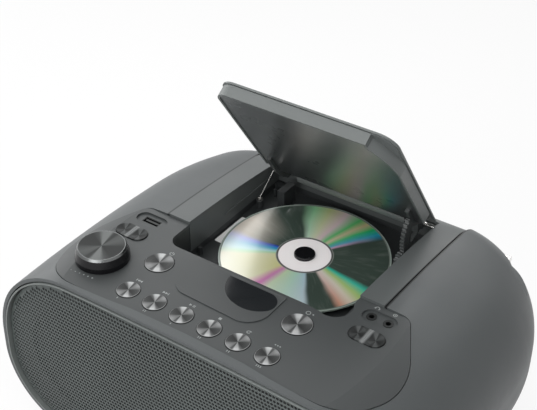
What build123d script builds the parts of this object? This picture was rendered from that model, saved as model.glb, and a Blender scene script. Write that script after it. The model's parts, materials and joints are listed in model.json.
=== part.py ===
from build123d import *
import math
import os

# Portable CD radio, modelled as it stands on a table with its disc lid open.
# Millimetres, +X to the right, +Y to the back, +Z up, z = 0 at the table.

# Cabinet envelope
half_width = 159.5
front_y = -113.5
front_mid_z = 73.0
front_lean = 1.8
back_y = 116.0
foot_height = 4.0
crown_peak_z = 144.6
crown_peak_y = -49.0
crown_length_radius = 1100.0
crown_width_radius = 3000.0
end_radius = 68.0
lower_corner_radius = 55.0
back_virtual_y = 123.0
back_top_radius = 38.0
back_corner_x = 49.0
back_corner_y = 86.0
back_bottom_start_y = 96.0
wall = 2.5
split_z = 30.0

# Clearances
seam_gap = 0.35
fit = 0.05
moving_gap = 0.3
seat_gap = 0.03

# Control panel
panel_drop = 3.0
panel_z = crown_peak_z - panel_drop
under_panel_z = panel_z - 21.6
above_all_z = crown_peak_z + 15.4
panel_thickness = 2.5
panel_proud = 0.4
pod_height = 0.7
window_thickness = 1.5

# Centre deck with the disc well
seam_x = 86.5
deck_drop = 0.55
deck_top_z = crown_peak_z - deck_drop
deck_front_y = -15.0
well_half_x = 68.0
well_front_y = -39.2
well_back_y = 93.6
well_depth = 28.6
well_floor_z = panel_z - well_depth
well_wall = 2.0
well_joint_height = 5.0
well_joint_z = well_floor_z + well_joint_height
well_corner_radius = 9.0

# Controls
small_button_radius = 7.75
large_button_radius = 9.75
button_row_y = -91.8
button_row_x = (-56.8, -35.35, -13.9, 7.55, 29.0, 50.45)
large_button_places = ((-58.0, -59.4), (49.5, -58.4))
oval_button_places = ((-94.8, -43.8), (90.0, -43.8))
oval_size = (24.0, 13.0)
button_gap = 0.35
button_proud = 0.8
rocker_pin_radius = 0.6
rocker_pin_reach = 2.2
rocker_saddle_depth = 1.9
rocker_saddle_half = 2.2
button_travel = 1.0
knob_place = (-92.4, -76.0)
knob_radius = 18.25
knob_height = 9.8
knob_face_radius = 15.3
port_recess_size = (24.0, 12.0)
usb_place = (-92.4, -25.6)
usb_size = (13.2, 5.8)
jack_x = (82.5, 94.3)
jack_y = -25.0
jack_bore_radius = 1.75
recess_depth = 1.4
board_depth = 10.2
board_z = panel_z - board_depth
board_thickness = 1.6

# Lid, in its own frame: origin on the hinge axis, y along the lid to the back
hinge_y = 88.5
hinge_height = 19.5
hinge_z = well_floor_z + hinge_height
lid_open_tilt = -55.9
lid_side_gap = 1.3
lid_half_x = well_half_x - lid_side_gap
lid_front_gap = 0.4
lid_front = well_front_y + lid_front_gap - hinge_y
lid_top = 4.6
lid_depth = 10.2
lid_plate = 1.6
lid_groove = 0.5
lid_inset = 0.9
lid_corner_radius = 13.0
lid_skirt_back = -18.5
barrel_half_x = 45.0
arm_x = (54.0, 59.0)
pin_radius = 1.5
sector_module = 1.0
sector_teeth = 56
damper_teeth = 10
damper_mesh_angle = 204.0

# Disc drive
spindle_y = 26.0
disc_radius = 60.0
disc_hole_radius = 7.5
disc_thickness = 1.2
disc_height = 6.0
disc_top_z = well_floor_z + disc_height
turntable_radius = 15.0
chassis_drop = 13.0
chassis_z = well_floor_z - chassis_drop
feed_module = 0.8
feed_teeth = 20
feed_pinion_teeth = 10
rod_y = (8.0, 44.0)
rod_height = 6.0
rod_z = chassis_z + rod_height
rod_radius = 1.5
rack_y = 50.0
lens_x = 23.0
sled_travel = 34.0
sled_neck = (5.5, 8.0)
drive_window = (-21.0, lens_x + sled_travel + sled_neck[0] + 3.5)
drive_window_width = 36.0
rod_bracket_half = 2.2
feed_x = 44.0

# Loudspeakers
speaker_from_end = 67.5
speaker_x = half_width - speaker_from_end
speaker_z = 71.0
speaker_radius = 50.0
baffle_depth = (5.0, 8.0)
grille_depth = (0.8, 2.0)

# Base, battery bay and power
battery_half_x = 70.0
battery_front_y = 48.0
battery_back_y = 100.0
battery_top_z = 38.0

# Antenna, stowed along the rear shoulder
antenna_y = 105.5
antenna_drop = 29.6
antenna_z = crown_peak_z - antenna_drop
antenna_pivot_x = -100.0
antenna_tip_x = 118.0
antenna_tube_radius = 3.3
antenna_middle_radius = 2.6
antenna_inner_radius = 1.7
groove_half_width = 4.6
scoop_low = (antenna_tip_x - 5.0, antenna_y - 15.5, antenna_z - 11.5)
scoop_high = (150.0, 125.0, antenna_z + 3.5)

os.makedirs("parts", exist_ok=True)


def save(part, name):
    part.label = name
    export_step(part, f"parts/{name}.step")


def box_between(low, high):
    """A plain block between two corners, for use outside a builder."""
    size = [b - a for a, b in zip(low, high)]
    middle = [(a + b) / 2 for a, b in zip(low, high)]
    return Pos(*middle) * Box(*size, mode=Mode.PRIVATE)


def polar(radius, degrees, middle=(0, 0)):
    turn = math.radians(degrees)
    return (middle[0] + radius * math.cos(turn), middle[1] + radius * math.sin(turn))


def rod_between(start, end, radius):
    """A round bar from one point to another."""
    path = Vector(*end) - Vector(*start)
    bar = Cylinder(
        radius, path.length, align=(Align.CENTER, Align.CENTER, Align.MIN), mode=Mode.PRIVATE
    )
    return Plane(origin=start, z_dir=path) * bar


def slab(sketch, low_z, high_z):
    """A flat sketch raised to a plate between two heights."""
    return Pos(0, 0, low_z) * extrude(sketch, high_z - low_z, mode=Mode.PRIVATE)


def crown_height(y):
    """Height of the cabinet's middle line, which rolls over at the back."""
    turn_y = back_virtual_y - back_top_radius
    along = min(y, turn_y) - crown_peak_y
    past = max(y - turn_y, 0)
    drop = back_top_radius - math.sqrt(back_top_radius**2 - past**2)
    return crown_peak_z - along**2 / (2 * crown_length_radius) - drop


def section_values(y, inset):
    turn_y = back_virtual_y - back_top_radius
    drop = back_top_radius - math.sqrt(back_top_radius**2 - max(y - turn_y, 0) ** 2)
    along = max(y - (back_virtual_y - back_corner_y), 0) / back_corner_y
    narrow = back_corner_x * (1 - math.sqrt(1 - along**2))
    rise = 10 * (1 - math.sqrt(1 - (max(y - back_bottom_start_y, 0) / 24) ** 2))
    radius = end_radius - 0.5 * drop - 0.25 * narrow
    low_radius = lower_corner_radius - 0.5 * drop - 0.2 * narrow
    return (
        half_width - narrow - inset,
        crown_height(y) - inset,
        foot_height + rise + inset,
        radius - inset,
        low_radius - inset,
        crown_width_radius - inset,
    )


def envelope_section(y, inset):
    """Outline of the cabinet at one depth: a flat crown, round ends and a flat base."""
    width, top, bottom, radius, low_radius, crown = section_values(y, inset)
    lean = math.asin((width - radius) / (crown - radius))
    centre_x = width - radius
    centre_z = top - crown + (crown - radius) * math.cos(lean)
    join = (crown * math.sin(lean), top - crown + crown * math.cos(lean))
    middle = (lean + math.pi / 2) / 2
    shoulder = (centre_x + radius * math.sin(middle), centre_z + radius * math.cos(middle))
    low_x = width - low_radius
    low_z = bottom + low_radius
    low_shoulder = (
        low_x + low_radius * math.sin(math.pi / 4),
        low_z - low_radius * math.cos(math.pi / 4),
    )
    with BuildSketch(Plane.XZ.offset(-y)) as outline:
        with BuildLine():
            ThreePointArc((-join[0], join[1]), (0, top), join)
            ThreePointArc(join, shoulder, (width, centre_z))
            Line((width, centre_z), (width, low_z))
            ThreePointArc((width, low_z), low_shoulder, (low_x, bottom))
            Line((low_x, bottom), (-low_x, bottom))
            ThreePointArc((-low_x, bottom), (-low_shoulder[0], low_shoulder[1]), (-width, low_z))
            Line((-width, low_z), (-width, centre_z))
            ThreePointArc((-width, centre_z), (-shoulder[0], shoulder[1]), (-join[0], join[1]))
        make_face()
    return outline.sketch


def envelope(inset, last_y):
    """The cabinet's outer form, or the hollow inside it when inset by a wall."""
    depths = [-122, -108, -94, -80, -65, -50, -35, -20, -5, 10, 25, 37]
    depths += [48, 58, 68, 78, 86, 94, 101, 107, 112, last_y]
    sections = [envelope_section(y, inset) for y in depths]
    return Part() + loft(sections, mode=Mode.PRIVATE)


def front_plane(depth):
    """A plane parallel to the leaning front, the given depth behind it."""
    lean = math.radians(front_lean)
    normal = (0, -math.cos(lean), math.sin(lean))
    face = Plane(origin=(0, front_y, front_mid_z), x_dir=(1, 0, 0), z_dir=normal)
    return face.offset(-depth)


def front_slab(inset, near, far):
    """The slice of the cabinet's form between two depths behind the front."""
    sections = [envelope_section(y, inset) for y in (-124, -116, -108, -100, -92)]
    form = Part() + loft(sections, mode=Mode.PRIVATE)
    form = split(form, bisect_by=front_plane(near), keep=Keep.BOTTOM, mode=Mode.PRIVATE)
    return split(form, bisect_by=front_plane(far), keep=Keep.TOP, mode=Mode.PRIVATE)


def deck_profile(inset, end_y, low_z, start_y):
    """Side outline of the centre deck: the crown, the rear roll and the back."""
    with BuildLine() as line:
        turn_y = back_virtual_y - back_top_radius
        start = (start_y, deck_height(start_y) - inset)
        turn = (turn_y, deck_height(turn_y) - inset)
        slope = (turn_y - crown_peak_y) / crown_length_radius
        lean = math.atan(slope)
        radius = back_top_radius - inset
        centre = (
            turn_y - back_top_radius * math.sin(lean),
            deck_height(turn_y) - back_top_radius * math.cos(lean),
        )
        back_angle = math.acos((end_y - centre[0]) / radius)
        middle_y = (start[0] + turn[0]) / 2
        mid_angle = (math.pi / 2 - lean + back_angle) / 2
        back = (end_y, centre[1] + radius * math.sin(back_angle))
        ThreePointArc(start, (middle_y, deck_height(middle_y) - inset), turn)
        ThreePointArc(
            turn,
            (centre[0] + radius * math.cos(mid_angle), centre[1] + radius * math.sin(mid_angle)),
            back,
        )
        Polyline(back, (end_y, low_z), (start_y, low_z), start)
    return line.line


def deck_height(y):
    return deck_top_z - (y - crown_peak_y) ** 2 / (2 * crown_length_radius)


def deck_solid(inset, end_y, low_z, half_x, start_y):
    with BuildPart() as solid:
        with BuildSketch(Plane.YZ):
            add(deck_profile(inset, end_y, low_z, start_y))
            make_face()
        extrude(amount=half_x, both=True)
    return solid.part


def involute_gear(teeth, module, backlash=0.12, turn=0.0, first=0, count=None):
    """Points of a gear outline; a tooth is centred on the angle turn (degrees).

    Teeth are short, with 20 degree flanks, so that a small pinion isn't undercut.
    """
    pressure = math.radians(20)
    pitch = teeth * module / 2
    base = pitch * math.cos(pressure)
    tip = pitch + 0.6 * module
    root = pitch - 0.85 * module
    half_pitch_angle = math.pi / (2 * teeth) - backlash / (2 * pitch)
    involute = math.tan(pressure) - pressure
    low = max(base, root)

    def half_angle(radius):
        angle = math.acos(min(base / radius, 1))
        return half_pitch_angle + involute - (math.tan(angle) - angle)

    radii = [low + (tip - low) * k / 3 for k in range(4)]
    points = []
    for tooth in range(first, first + (count or teeth)):
        centre = math.radians(turn) + 2 * math.pi * tooth / teeth
        flank = [(r, -half_angle(r)) for r in radii]
        if root < low:
            flank = [(root, -half_angle(low))] + flank
        whole = flank + [(r, -a) for r, a in reversed(flank)]
        points += [(r * math.cos(centre + a), r * math.sin(centre + a)) for r, a in whole]
    return points


outer_form = envelope(0, back_y)
inner_form = envelope(wall, back_y - wall)


def panel_prism(grow, low_z, high_z):
    """The control panel's outline seen from above, grown outwards by a gap."""
    with BuildPart() as prism:
        with BuildSketch(Plane.XY.offset(low_z)):
            with BuildLine():
                Line((0, -104.5), (44, -105.2))
                ThreePointArc((44, -105.2), (72, -107.2), (95.8, -107.4))
                ThreePointArc((95.8, -107.4), (111.2, -100.6), (120.4, -87.5))
                ThreePointArc((120.4, -87.5), (125.4, -67), (121, -45.4))
                Polyline((121, -45.4), (107, -20.5))
                ThreePointArc((107, -20.5), (104.3, -16.8), (100, -15))
                Line((100, -15), (0, -15))
                mirror(about=Plane.YZ)
            make_face()
            if grow:
                offset(amount=grow)
        extrude(amount=high_z - low_z)
    return prism.part


# Upper and lower shells, a tube with a closed back that is open at the front
front_tool = front_plane(0)
hull = split(outer_form, bisect_by=front_tool, keep=Keep.BOTTOM) - inner_form
groove_axis = (0, antenna_y, antenna_z)
groove_plane = Plane(origin=groove_axis, x_dir=(1, 0, 0), z_dir=(0, 1, 1))
groove_low = antenna_pivot_x - 9.0
groove_high = scoop_low[0] + 4.0


def groove_block(low_x, high_x, half_width, depth, height):
    block = box_between((low_x, -half_width, -depth), (high_x, half_width, height))
    return groove_plane * block


groove_wall = groove_block(
    groove_low - 1.6, groove_high, groove_half_width + 1.6, groove_half_width + 1.6, 30
)
groove_cut = groove_block(groove_low, groove_high + 12, groove_half_width, groove_half_width, 40)
deck_cut = box_between((-seam_x, deck_front_y, 0), (seam_x, 150, above_all_z))
scoop_wall = box_between(
    (scoop_low[0] - wall, scoop_low[1] - wall, scoop_low[2] - wall),
    (scoop_high[0], scoop_high[1], scoop_high[2] + wall),
)
scoop_cut = box_between(scoop_low, scoop_high)

with BuildPart() as upper_shell:
    add(split(hull, bisect_by=Plane.XY.offset(split_z), keep=Keep.TOP))
    add(outer_form & scoop_wall)
    add(outer_form & groove_wall)
    add(panel_prism(seam_gap, under_panel_z, above_all_z), mode=Mode.SUBTRACT)
    add(deck_cut, mode=Mode.SUBTRACT)
    add(scoop_cut, mode=Mode.SUBTRACT)
    add(groove_cut, mode=Mode.SUBTRACT)
save(upper_shell.part, "upper_shell")

# Lower shell with battery bay, feet bosses and posts
bay_low = (-battery_half_x, battery_front_y, 0)
bay_high = (battery_half_x, battery_back_y, battery_top_z)
door_top = foot_height + wall
with BuildPart() as lower_shell:
    add(split(hull, bisect_by=Plane.XY.offset(split_z - seam_gap), keep=Keep.BOTTOM))
    add(
        box_between(
            (bay_low[0] - wall, bay_low[1] - wall, foot_height + 0.6),
            (bay_high[0] + wall, bay_high[1] + wall, bay_high[2] + wall),
        )
    )
    add(
        box_between(
            (bay_low[0] - wall, bay_high[1], door_top),
            (bay_high[0] + wall, back_y - wall, door_top + wall),
        )
    )
    for x in (-50, 50):
        for y in (-40, 30):
            add(rod_between((x, y, 6), (x, y, 19.5), 3.5))
    add(box_between(bay_low, bay_high), mode=Mode.SUBTRACT)
    add(box_between((bay_low[0], 90, 0), (bay_high[0], 112.6, door_top)), mode=Mode.SUBTRACT)
    for x in (-50, 50):
        for y in (-40, 30):
            add(rod_between((x, y, 9), (x, y, 22), 1.4), mode=Mode.SUBTRACT)
save(lower_shell.part, "lower_shell")

# Centre deck: strips beside the disc well, the rear roll and the back
deck_half = seam_x - seam_gap
deck_low = split_z + seam_gap
deck_outer = deck_solid(0, back_y, deck_low, deck_half, deck_front_y + seam_gap)
deck_inner = deck_solid(wall, back_y - wall, deck_low - 10, deck_half + 5, deck_front_y - 10)
skirt_x = well_half_x + well_wall
inlet_x = (34.0, 58.0)
inlet_z = (46.0, 62.0)
with BuildPart() as center_deck:
    add(deck_outer - deck_inner)
    for side in (-1, 1):
        low_x, high_x = sorted((side * well_half_x, side * skirt_x))
        skirt = box_between(
            (low_x, deck_front_y + seam_gap, well_joint_z),
            (high_x, well_back_y + well_wall, above_all_z),
        )
        add(skirt & deck_outer)
    rear_skirt = box_between(
        (-skirt_x, well_back_y, well_joint_z), (skirt_x, well_back_y + well_wall, above_all_z)
    )
    add(rear_skirt & deck_outer)
    add(deck_outer & groove_wall)
    well_space = box_between(
        (-well_half_x, -30, chassis_z), (well_half_x, well_back_y, above_all_z)
    )
    add(well_space, mode=Mode.SUBTRACT)
    add(groove_cut, mode=Mode.SUBTRACT)
    for side in (-1, 1):
        low_x, high_x = sorted((side * 67.0, side * 70.0))
        pin_hole = rod_between((low_x, hinge_y, hinge_z), (high_x, hinge_y, hinge_z), pin_radius)
        add(pin_hole, mode=Mode.SUBTRACT)
    add(
        box_between((inlet_x[0], 110, inlet_z[0]), (inlet_x[1], 118, inlet_z[1])),
        mode=Mode.SUBTRACT,
    )
    add(box_between((-well_half_x, 25, hinge_z - 6.5), (-well_half_x + 0.8, 84, hinge_z - 5.5)))
save(center_deck.part, "center_deck")

# Disc well with the drive's window, the lid gear's slot and small pillars
sector_slot = box_between((53.2, 64.5, chassis_z), (59.8, 88, well_floor_z + 1))
with BuildPart() as cd_well:
    with BuildSketch(Plane.XY.offset(well_floor_z - well_wall)):
        with Locations((0, (well_front_y + well_back_y) / 2)):
            Rectangle(2 * skirt_x, well_back_y - well_front_y + 2 * well_wall)
    extrude(amount=well_wall)
    with BuildSketch(Plane.XY.offset(well_floor_z)):
        with Locations((0, (well_front_y + well_back_y) / 2)):
            Rectangle(2 * skirt_x, well_back_y - well_front_y + 2 * well_wall)
        with Locations((0, (well_front_y + well_back_y) / 2)):
            Rectangle(2 * well_half_x, well_back_y - well_front_y, mode=Mode.SUBTRACT)
    extrude(amount=panel_z - panel_thickness - well_floor_z)
    fillet(
        cd_well.edges().filter_by(Axis.Z).sort_by(Axis.Y).filter_by_position(Axis.Y, -40, -39),
        well_corner_radius,
    )
    rear_cut = box_between(
        (-80, deck_front_y - seam_gap, well_joint_z), (80, 110, above_all_z)
    )
    add(rear_cut, mode=Mode.SUBTRACT)
    with BuildSketch(Plane.XY.offset(well_floor_z - well_wall)):
        with Locations(((drive_window[0] + drive_window[1]) / 2, spindle_y)):
            SlotOverall(drive_window[1] - drive_window[0], drive_window_width)
    extrude(amount=well_wall, mode=Mode.SUBTRACT)
    add(sector_slot, mode=Mode.SUBTRACT)
    add(box_between((-67, 87, well_floor_z), (-60.5, 92, well_joint_z)))
    add(box_between((-52.3, 69, well_floor_z), (-46.3, 84, well_floor_z + 15)))
    with Locations((-65, -8, well_floor_z + 3)):
        Cylinder(1.6, 6)
    with Locations((-62, 80, well_floor_z + 3)):
        Cylinder(1.2, 6)
    with Locations((-63, 61.5, well_floor_z + 3.5)):
        Cylinder(2.6, 7)
    with Locations((-63, 61.5, well_floor_z + 4)):
        Cylinder(1.0, 8, mode=Mode.SUBTRACT)
save(cd_well.part, "cd_well")

# Blank paper label on the well floor, under the disc at the left
with BuildPart() as well_label:
    with BuildSketch(Plane.XY.offset(well_floor_z)):
        with Locations((-61, 27)):
            RectangleRounded(11, 34, 1.0)
    extrude(amount=0.2)
save(well_label.part, "well_label")

# Control panel with its raised display pod
panel_form = envelope(-panel_proud, back_y)
panel_low = panel_z - panel_thickness
button_low = panel_low - 1.6
rocker_axis_z = button_low + 0.6
switch_places = [(x, button_row_y) for x in button_row_x] + list(large_button_places)
button_radii = [small_button_radius] * len(button_row_x) + [large_button_radius] * 2
port_x = (usb_place[0], sum(jack_x) / 2)
boss_places = ((-76.5, -52.0), (70.0, -52.0), (-3.0, -80.5), (-68.0, -78.0), (66.0, -78.0))


def pod_sketch(grow):
    with BuildSketch() as pod:
        with BuildLine():
            Line((-38.5, -42), (-38.5, -64))
            ThreePointArc((-38.5, -64), (-33.6, -72.4), (-24, -75.4))
            Line((-24, -75.4), (12, -76.5))
            ThreePointArc((12, -76.5), (25.6, -72.6), (30.7, -60))
            Line((30.7, -60), (30.7, -42))
            Line((30.7, -42), (-38.5, -42))
        make_face()
        if grow:
            offset(amount=grow)
    return pod.sketch


def window_sketch(grow):
    with BuildSketch() as window:
        with BuildLine():
            Line((-11.5, -44), (21, -44))
            ThreePointArc((21, -44), (28.7, -49.5), (28.2, -58.5))
            ThreePointArc((28.2, -58.5), (19.5, -64.4), (8, -65))
            ThreePointArc((8, -65), (-4.9, -58.6), (-11.5, -44))
        make_face()
        if grow:
            offset(amount=grow)
    return window.sketch


flat = box_between((-140, -125, chassis_z), (140, 0, panel_z))
under = inner_form & box_between((-140, -125, chassis_z), (140, 0, panel_low))
panel_skin = (panel_form & panel_prism(0, under_panel_z, above_all_z) & flat) - under
pod_solid = slab(pod_sketch(0), panel_z, panel_z + pod_height)
glass_low = panel_z + pod_height - window_thickness
glass_seat = slab(window_sketch(fit), glass_low, glass_low + 5)
glass_view = slab(window_sketch(-1.5), panel_low - 1, glass_low + 1)
with BuildPart() as control_panel:
    add(panel_skin)
    add(pod_solid)
    for x, y in boss_places:
        with Locations((x, y, (board_z + board_thickness + panel_low) / 2)):
            Cylinder(2.5, panel_low - board_z - board_thickness)
    for (x, y), radius in zip(switch_places, button_radii):
        with Locations((x, y, panel_z)):
            Cylinder(radius + button_gap, 20, mode=Mode.SUBTRACT)
    with BuildSketch(Plane.XY.offset(panel_z - 10)):
        for x, y in oval_button_places:
            with Locations((x, y)):
                SlotOverall(oval_size[0] + 2 * button_gap, oval_size[1] + 2 * button_gap)
        with Locations(knob_place):
            Circle(4.0)
    extrude(amount=20, mode=Mode.SUBTRACT)
    with BuildSketch(Plane.XY.offset(panel_z - recess_depth)):
        for x in port_x:
            with Locations((x, usb_place[1])):
                SlotOverall(*port_recess_size)
    extrude(amount=5, mode=Mode.SUBTRACT)
    with BuildSketch(Plane.XY.offset(panel_low - 1)):
        with Locations(usb_place):
            Rectangle(usb_size[0] + 2 * fit, usb_size[1] + 2 * fit)
        for x in jack_x:
            with Locations((x, jack_y)):
                Circle(3.4 + fit)
    extrude(amount=5, mode=Mode.SUBTRACT)
    add(glass_seat, mode=Mode.SUBTRACT)
    add(glass_view, mode=Mode.SUBTRACT)
    for x, y in oval_button_places:
        for side in (-1, 1):
            near = y + side * (oval_size[1] / 2 + button_gap + moving_gap)
            far = near + side * rocker_saddle_depth
            low = (x - rocker_saddle_half, min(near, far), rocker_axis_z - 1.5)
            high = (x + rocker_saddle_half, max(near, far), panel_low)
            add(box_between(low, high))
            bore = rod_between((x, y, rocker_axis_z), (x, far, rocker_axis_z), rocker_pin_radius + fit)
            add(bore, mode=Mode.SUBTRACT)
    turn = well_corner_radius
    turn_middle = polar(turn, 225, (turn - well_half_x, turn + well_front_y))
    with BuildSketch(Plane.XY.offset(panel_low - 1)):
        with BuildLine():
            Line((-well_half_x, 0), (-well_half_x, well_front_y + turn))
            ThreePointArc(
                (-well_half_x, well_front_y + turn), turn_middle, (turn - well_half_x, well_front_y)
            )
            Line((turn - well_half_x, well_front_y), (44, well_front_y))
            Line((44, well_front_y), (54.4, -40.2))
            ThreePointArc((54.4, -40.2), (66.2, -38.4), (68, -22))
            Polyline((well_half_x, -22), (well_half_x, 0), (-well_half_x, 0))
        make_face()
    extrude(amount=12, mode=Mode.SUBTRACT)
save(control_panel.part, "control_panel")

display_window = slab(window_sketch(0), glass_low, glass_low + window_thickness - 0.1)
save(display_window, "display_window")

with BuildPart() as display_module:
    add(box_between((-13, -66.5, board_z + board_thickness), (30, -43.5, panel_low - 0.05)))
    for x, y in boss_places:
        with Locations((x, y, panel_low)):
            Cylinder(2.6, 20, mode=Mode.SUBTRACT)
save(display_module.part, "display_module")

# Lid, drawn in its own frame and stood open
tilt = math.radians(lid_open_tilt)
lid_flat = Plane(
    origin=(0, hinge_y, hinge_z), x_dir=(1, 0, 0), z_dir=(0, -math.sin(tilt), math.cos(tilt))
)
lid_side = Plane(
    origin=(0, hinge_y, hinge_z),
    x_dir=(0, math.cos(tilt), math.sin(tilt)),
    z_dir=(1, 0, 0),
)
lid_bottom = lid_top - lid_depth
lid_front_corners = ((-1, -1), (1, -1))


def lid_rectangle(inset, back):
    """Lid outline with round front corners, from the front tip to the given back."""
    half = lid_half_x - inset
    front = lid_front + inset
    turn = lid_corner_radius - inset
    left = polar(turn, 225, (turn - half, turn + front))
    right = polar(turn, 315, (half - turn, turn + front))
    with BuildSketch() as outline:
        with BuildLine():
            Polyline((half, front + turn), (half, back), (-half, back), (-half, front + turn))
            ThreePointArc((-half, front + turn), left, (turn - half, front))
            Line((turn - half, front), (half - turn, front))
            ThreePointArc((half - turn, front), right, (half, front + turn))
        make_face()
    return outline.sketch


def lid_skirt(inset, back):
    """Skirt outline, set back round the right front corner as a finger scoop."""
    half = lid_half_x - inset
    front = lid_front + inset
    with BuildSketch() as scoop:
        with BuildLine():
            Polyline((50, front + 5), (50, front - 5), (half + 8, front - 5), (half + 8, front + 34))
            Line((half + 8, front + 34), (half, front + 34))
            ThreePointArc((half, front + 34), (half - 8, front + 13.5), (50, front + 5))
        make_face()
    return lid_rectangle(inset, back) - scoop.sketch


neck_low = lid_top - lid_plate - lid_groove
lid_top_plate = slab(lid_rectangle(0, 0), lid_top - lid_plate, lid_top)
top_face = lid_top_plate.faces().sort_by(Axis.Z)[-1]
lid_top_plate = chamfer(top_face.edges().filter_by_position(Axis.Y, -200, -0.5), 0.5)
skirt_face = lid_skirt(lid_inset, lid_skirt_back) - offset(
    lid_skirt(lid_inset, lid_skirt_back + 20), -1.8
)
neck = slab(lid_rectangle(1.5, -6), neck_low, neck_low + lid_groove)
skirt = slab(skirt_face, lid_bottom, neck_low)
with BuildPart() as lid_shell:
    add(lid_top_plate)
    add(neck)
    add(skirt)
    with BuildSketch(Plane.YZ):
        Circle(lid_top)
    extrude(amount=barrel_half_x, both=True)
    add(box_between((-barrel_half_x, -9, 0.6), (barrel_half_x, 0, neck_low + 0.3)))
    with BuildSketch(Plane.YZ):
        Circle(pin_radius + 0.3)
    extrude(amount=barrel_half_x + 1, both=True, mode=Mode.SUBTRACT)
    for side in (-1, 1):
        low_x, high_x = sorted((side * (arm_x[0] - 0.4), side * (arm_x[1] + 0.4)))
        add(box_between((low_x, -8, -10), (high_x, 6, 8)), mode=Mode.SUBTRACT)
save(lid_flat * lid_shell.part, "lid_shell")

liner_low = lid_bottom + 0.6
liner_face = offset(lid_skirt(lid_inset, lid_skirt_back + 8), -1.9)
liner_plate = slab(liner_face, liner_low, liner_low + 1.6)
with BuildPart() as lid_liner:
    add(liner_plate)
    with Locations(
        (-50, -110, liner_low), (40, -110, liner_low), (-50, -30, liner_low), (50, -30, liner_low)
    ):
        Cylinder(3, neck_low - liner_low, align=(Align.CENTER, Align.CENTER, Align.MIN))
save(lid_flat * lid_liner.part, "lid_liner")


def arm_profile(with_sector):
    """Side outline of a lid arm: hub, bar and pad, with the toothed sector if asked."""
    with BuildSketch() as arm:
        Circle(4.4)
        with BuildLine():
            Polyline((-34, liner_low - 2.4), (-34, liner_low), (-11.8, liner_low), (-7.5, -1.5))
            Polyline((-7.5, -1.5), (-3.2, 3.0), (4, -1.8), (-4, -6.5), (-16, liner_low - 3.4))
            Line((-16, liner_low - 3.4), (-34, liner_low - 2.4))
        make_face()
        if with_sector:
            with BuildLine():
                Polyline((0, 0), polar(24, 204), polar(24, 264), (0, 0))
            make_face()
            Polygon(*sector_points, align=None)
            with BuildLine():
                Polyline(polar(9, 212), polar(19, 212), polar(19, 256), polar(9, 256), polar(9, 212))
            make_face(mode=Mode.SUBTRACT)
        Circle(pin_radius + fit, mode=Mode.SUBTRACT)
    return arm.sketch


pitch_radius = sector_teeth * sector_module / 2
mesh_local = damper_mesh_angle - lid_open_tilt
teeth_front = involute_gear(
    sector_teeth, sector_module, turn=mesh_local, first=-9, count=11
)
tooth_step = 360 / sector_teeth
root_radius = pitch_radius - 0.85 * sector_module
sector_start = mesh_local - 9.5 * tooth_step
sector_end = mesh_local + 1.5 * tooth_step
inner_arc = [
    polar(22, sector_end + (sector_start - sector_end) * k / 24) for k in range(25)
]
sector_points = (
    [polar(root_radius, sector_start)] + teeth_front + [polar(root_radius, sector_end)] + inner_arc
)
right_profile = arm_profile(True)
with BuildPart() as lid_arm_right:
    with BuildSketch(lid_side.offset(arm_x[0] + 1)):
        add(right_profile)
    extrude(amount=3)
save(lid_arm_right.part, "lid_arm_right")

left_profile = arm_profile(False)
with BuildPart() as lid_arm_left:
    with BuildSketch(lid_side.offset(-arm_x[0] - 4)):
        add(left_profile)
    extrude(amount=3)
save(lid_arm_left.part, "lid_arm_left")

with BuildPart() as hinge_pins:
    for side in (-1, 1):
        low_x, high_x = sorted((side * 50.0, side * 70.0))
        add(rod_between((low_x, hinge_y, hinge_z), (high_x, hinge_y, hinge_z), pin_radius))
    add(
        groove_plane
        * Pos(antenna_pivot_x, 0, 0)
        * Rot(90, 0, 0)
        * Cylinder(1.5, 2 * groove_half_width, mode=Mode.PRIVATE)
    )
save(hinge_pins.part, "hinge_pins")

# Lid spring: a plain sleeve round the left pin for the turns, a long straight leg to its
# screw and a short tail under the lid
wire = 0.9
coil_radius = 2.4
coil_wall = 1.0
coil_x = (-66.6, -59.65)
leg_x = -66.1
leg_angle = 116.0
leg_end = (-63.0, 61.5, well_floor_z + 8.6)
tail_x = -60.15
tail_turn = 26.0
tail_length = 3.5
leg_foot = (leg_x, *polar(coil_radius, leg_angle, (hinge_y, hinge_z)))
tail_foot = (tail_x, *polar(coil_radius, tail_turn, (hinge_y, hinge_z)))
tail_way = polar(tail_length, tail_turn - 90)
tail_end = (tail_x, tail_foot[1] + tail_way[0], tail_foot[2] + tail_way[1])
with BuildPart() as lid_spring:
    with BuildSketch(Plane.YZ.offset(coil_x[0])):
        with Locations((hinge_y, hinge_z)):
            Circle(coil_radius + coil_wall / 2)
            Circle(coil_radius - coil_wall / 2, mode=Mode.SUBTRACT)
    extrude(amount=coil_x[1] - coil_x[0])
    add(rod_between(leg_foot, leg_end, wire / 2))
    add(rod_between(tail_foot, tail_end, wire / 2))
save(lid_spring.part, "lid_spring")

# Damper: a small gear in mesh with the sector and its housing
damper_distance = (sector_teeth + damper_teeth) * sector_module / 2
damper_y, damper_z = polar(damper_distance, damper_mesh_angle, (hinge_y, hinge_z))
with BuildPart() as damper_gear:
    with BuildSketch(Plane.YZ.offset(arm_x[0] + 0.6)):
        with Locations((damper_y, damper_z)):
            Polygon(
                *involute_gear(
                    damper_teeth,
                    sector_module,
                    turn=damper_mesh_angle - 180 + 180 / damper_teeth,
                ),
                align=None,
            )
    extrude(amount=3.8)
    add(rod_between((arm_x[0] + 4, damper_y, damper_z), (62, damper_y, damper_z), 1.2))
save(damper_gear.part, "damper_gear")

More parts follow.
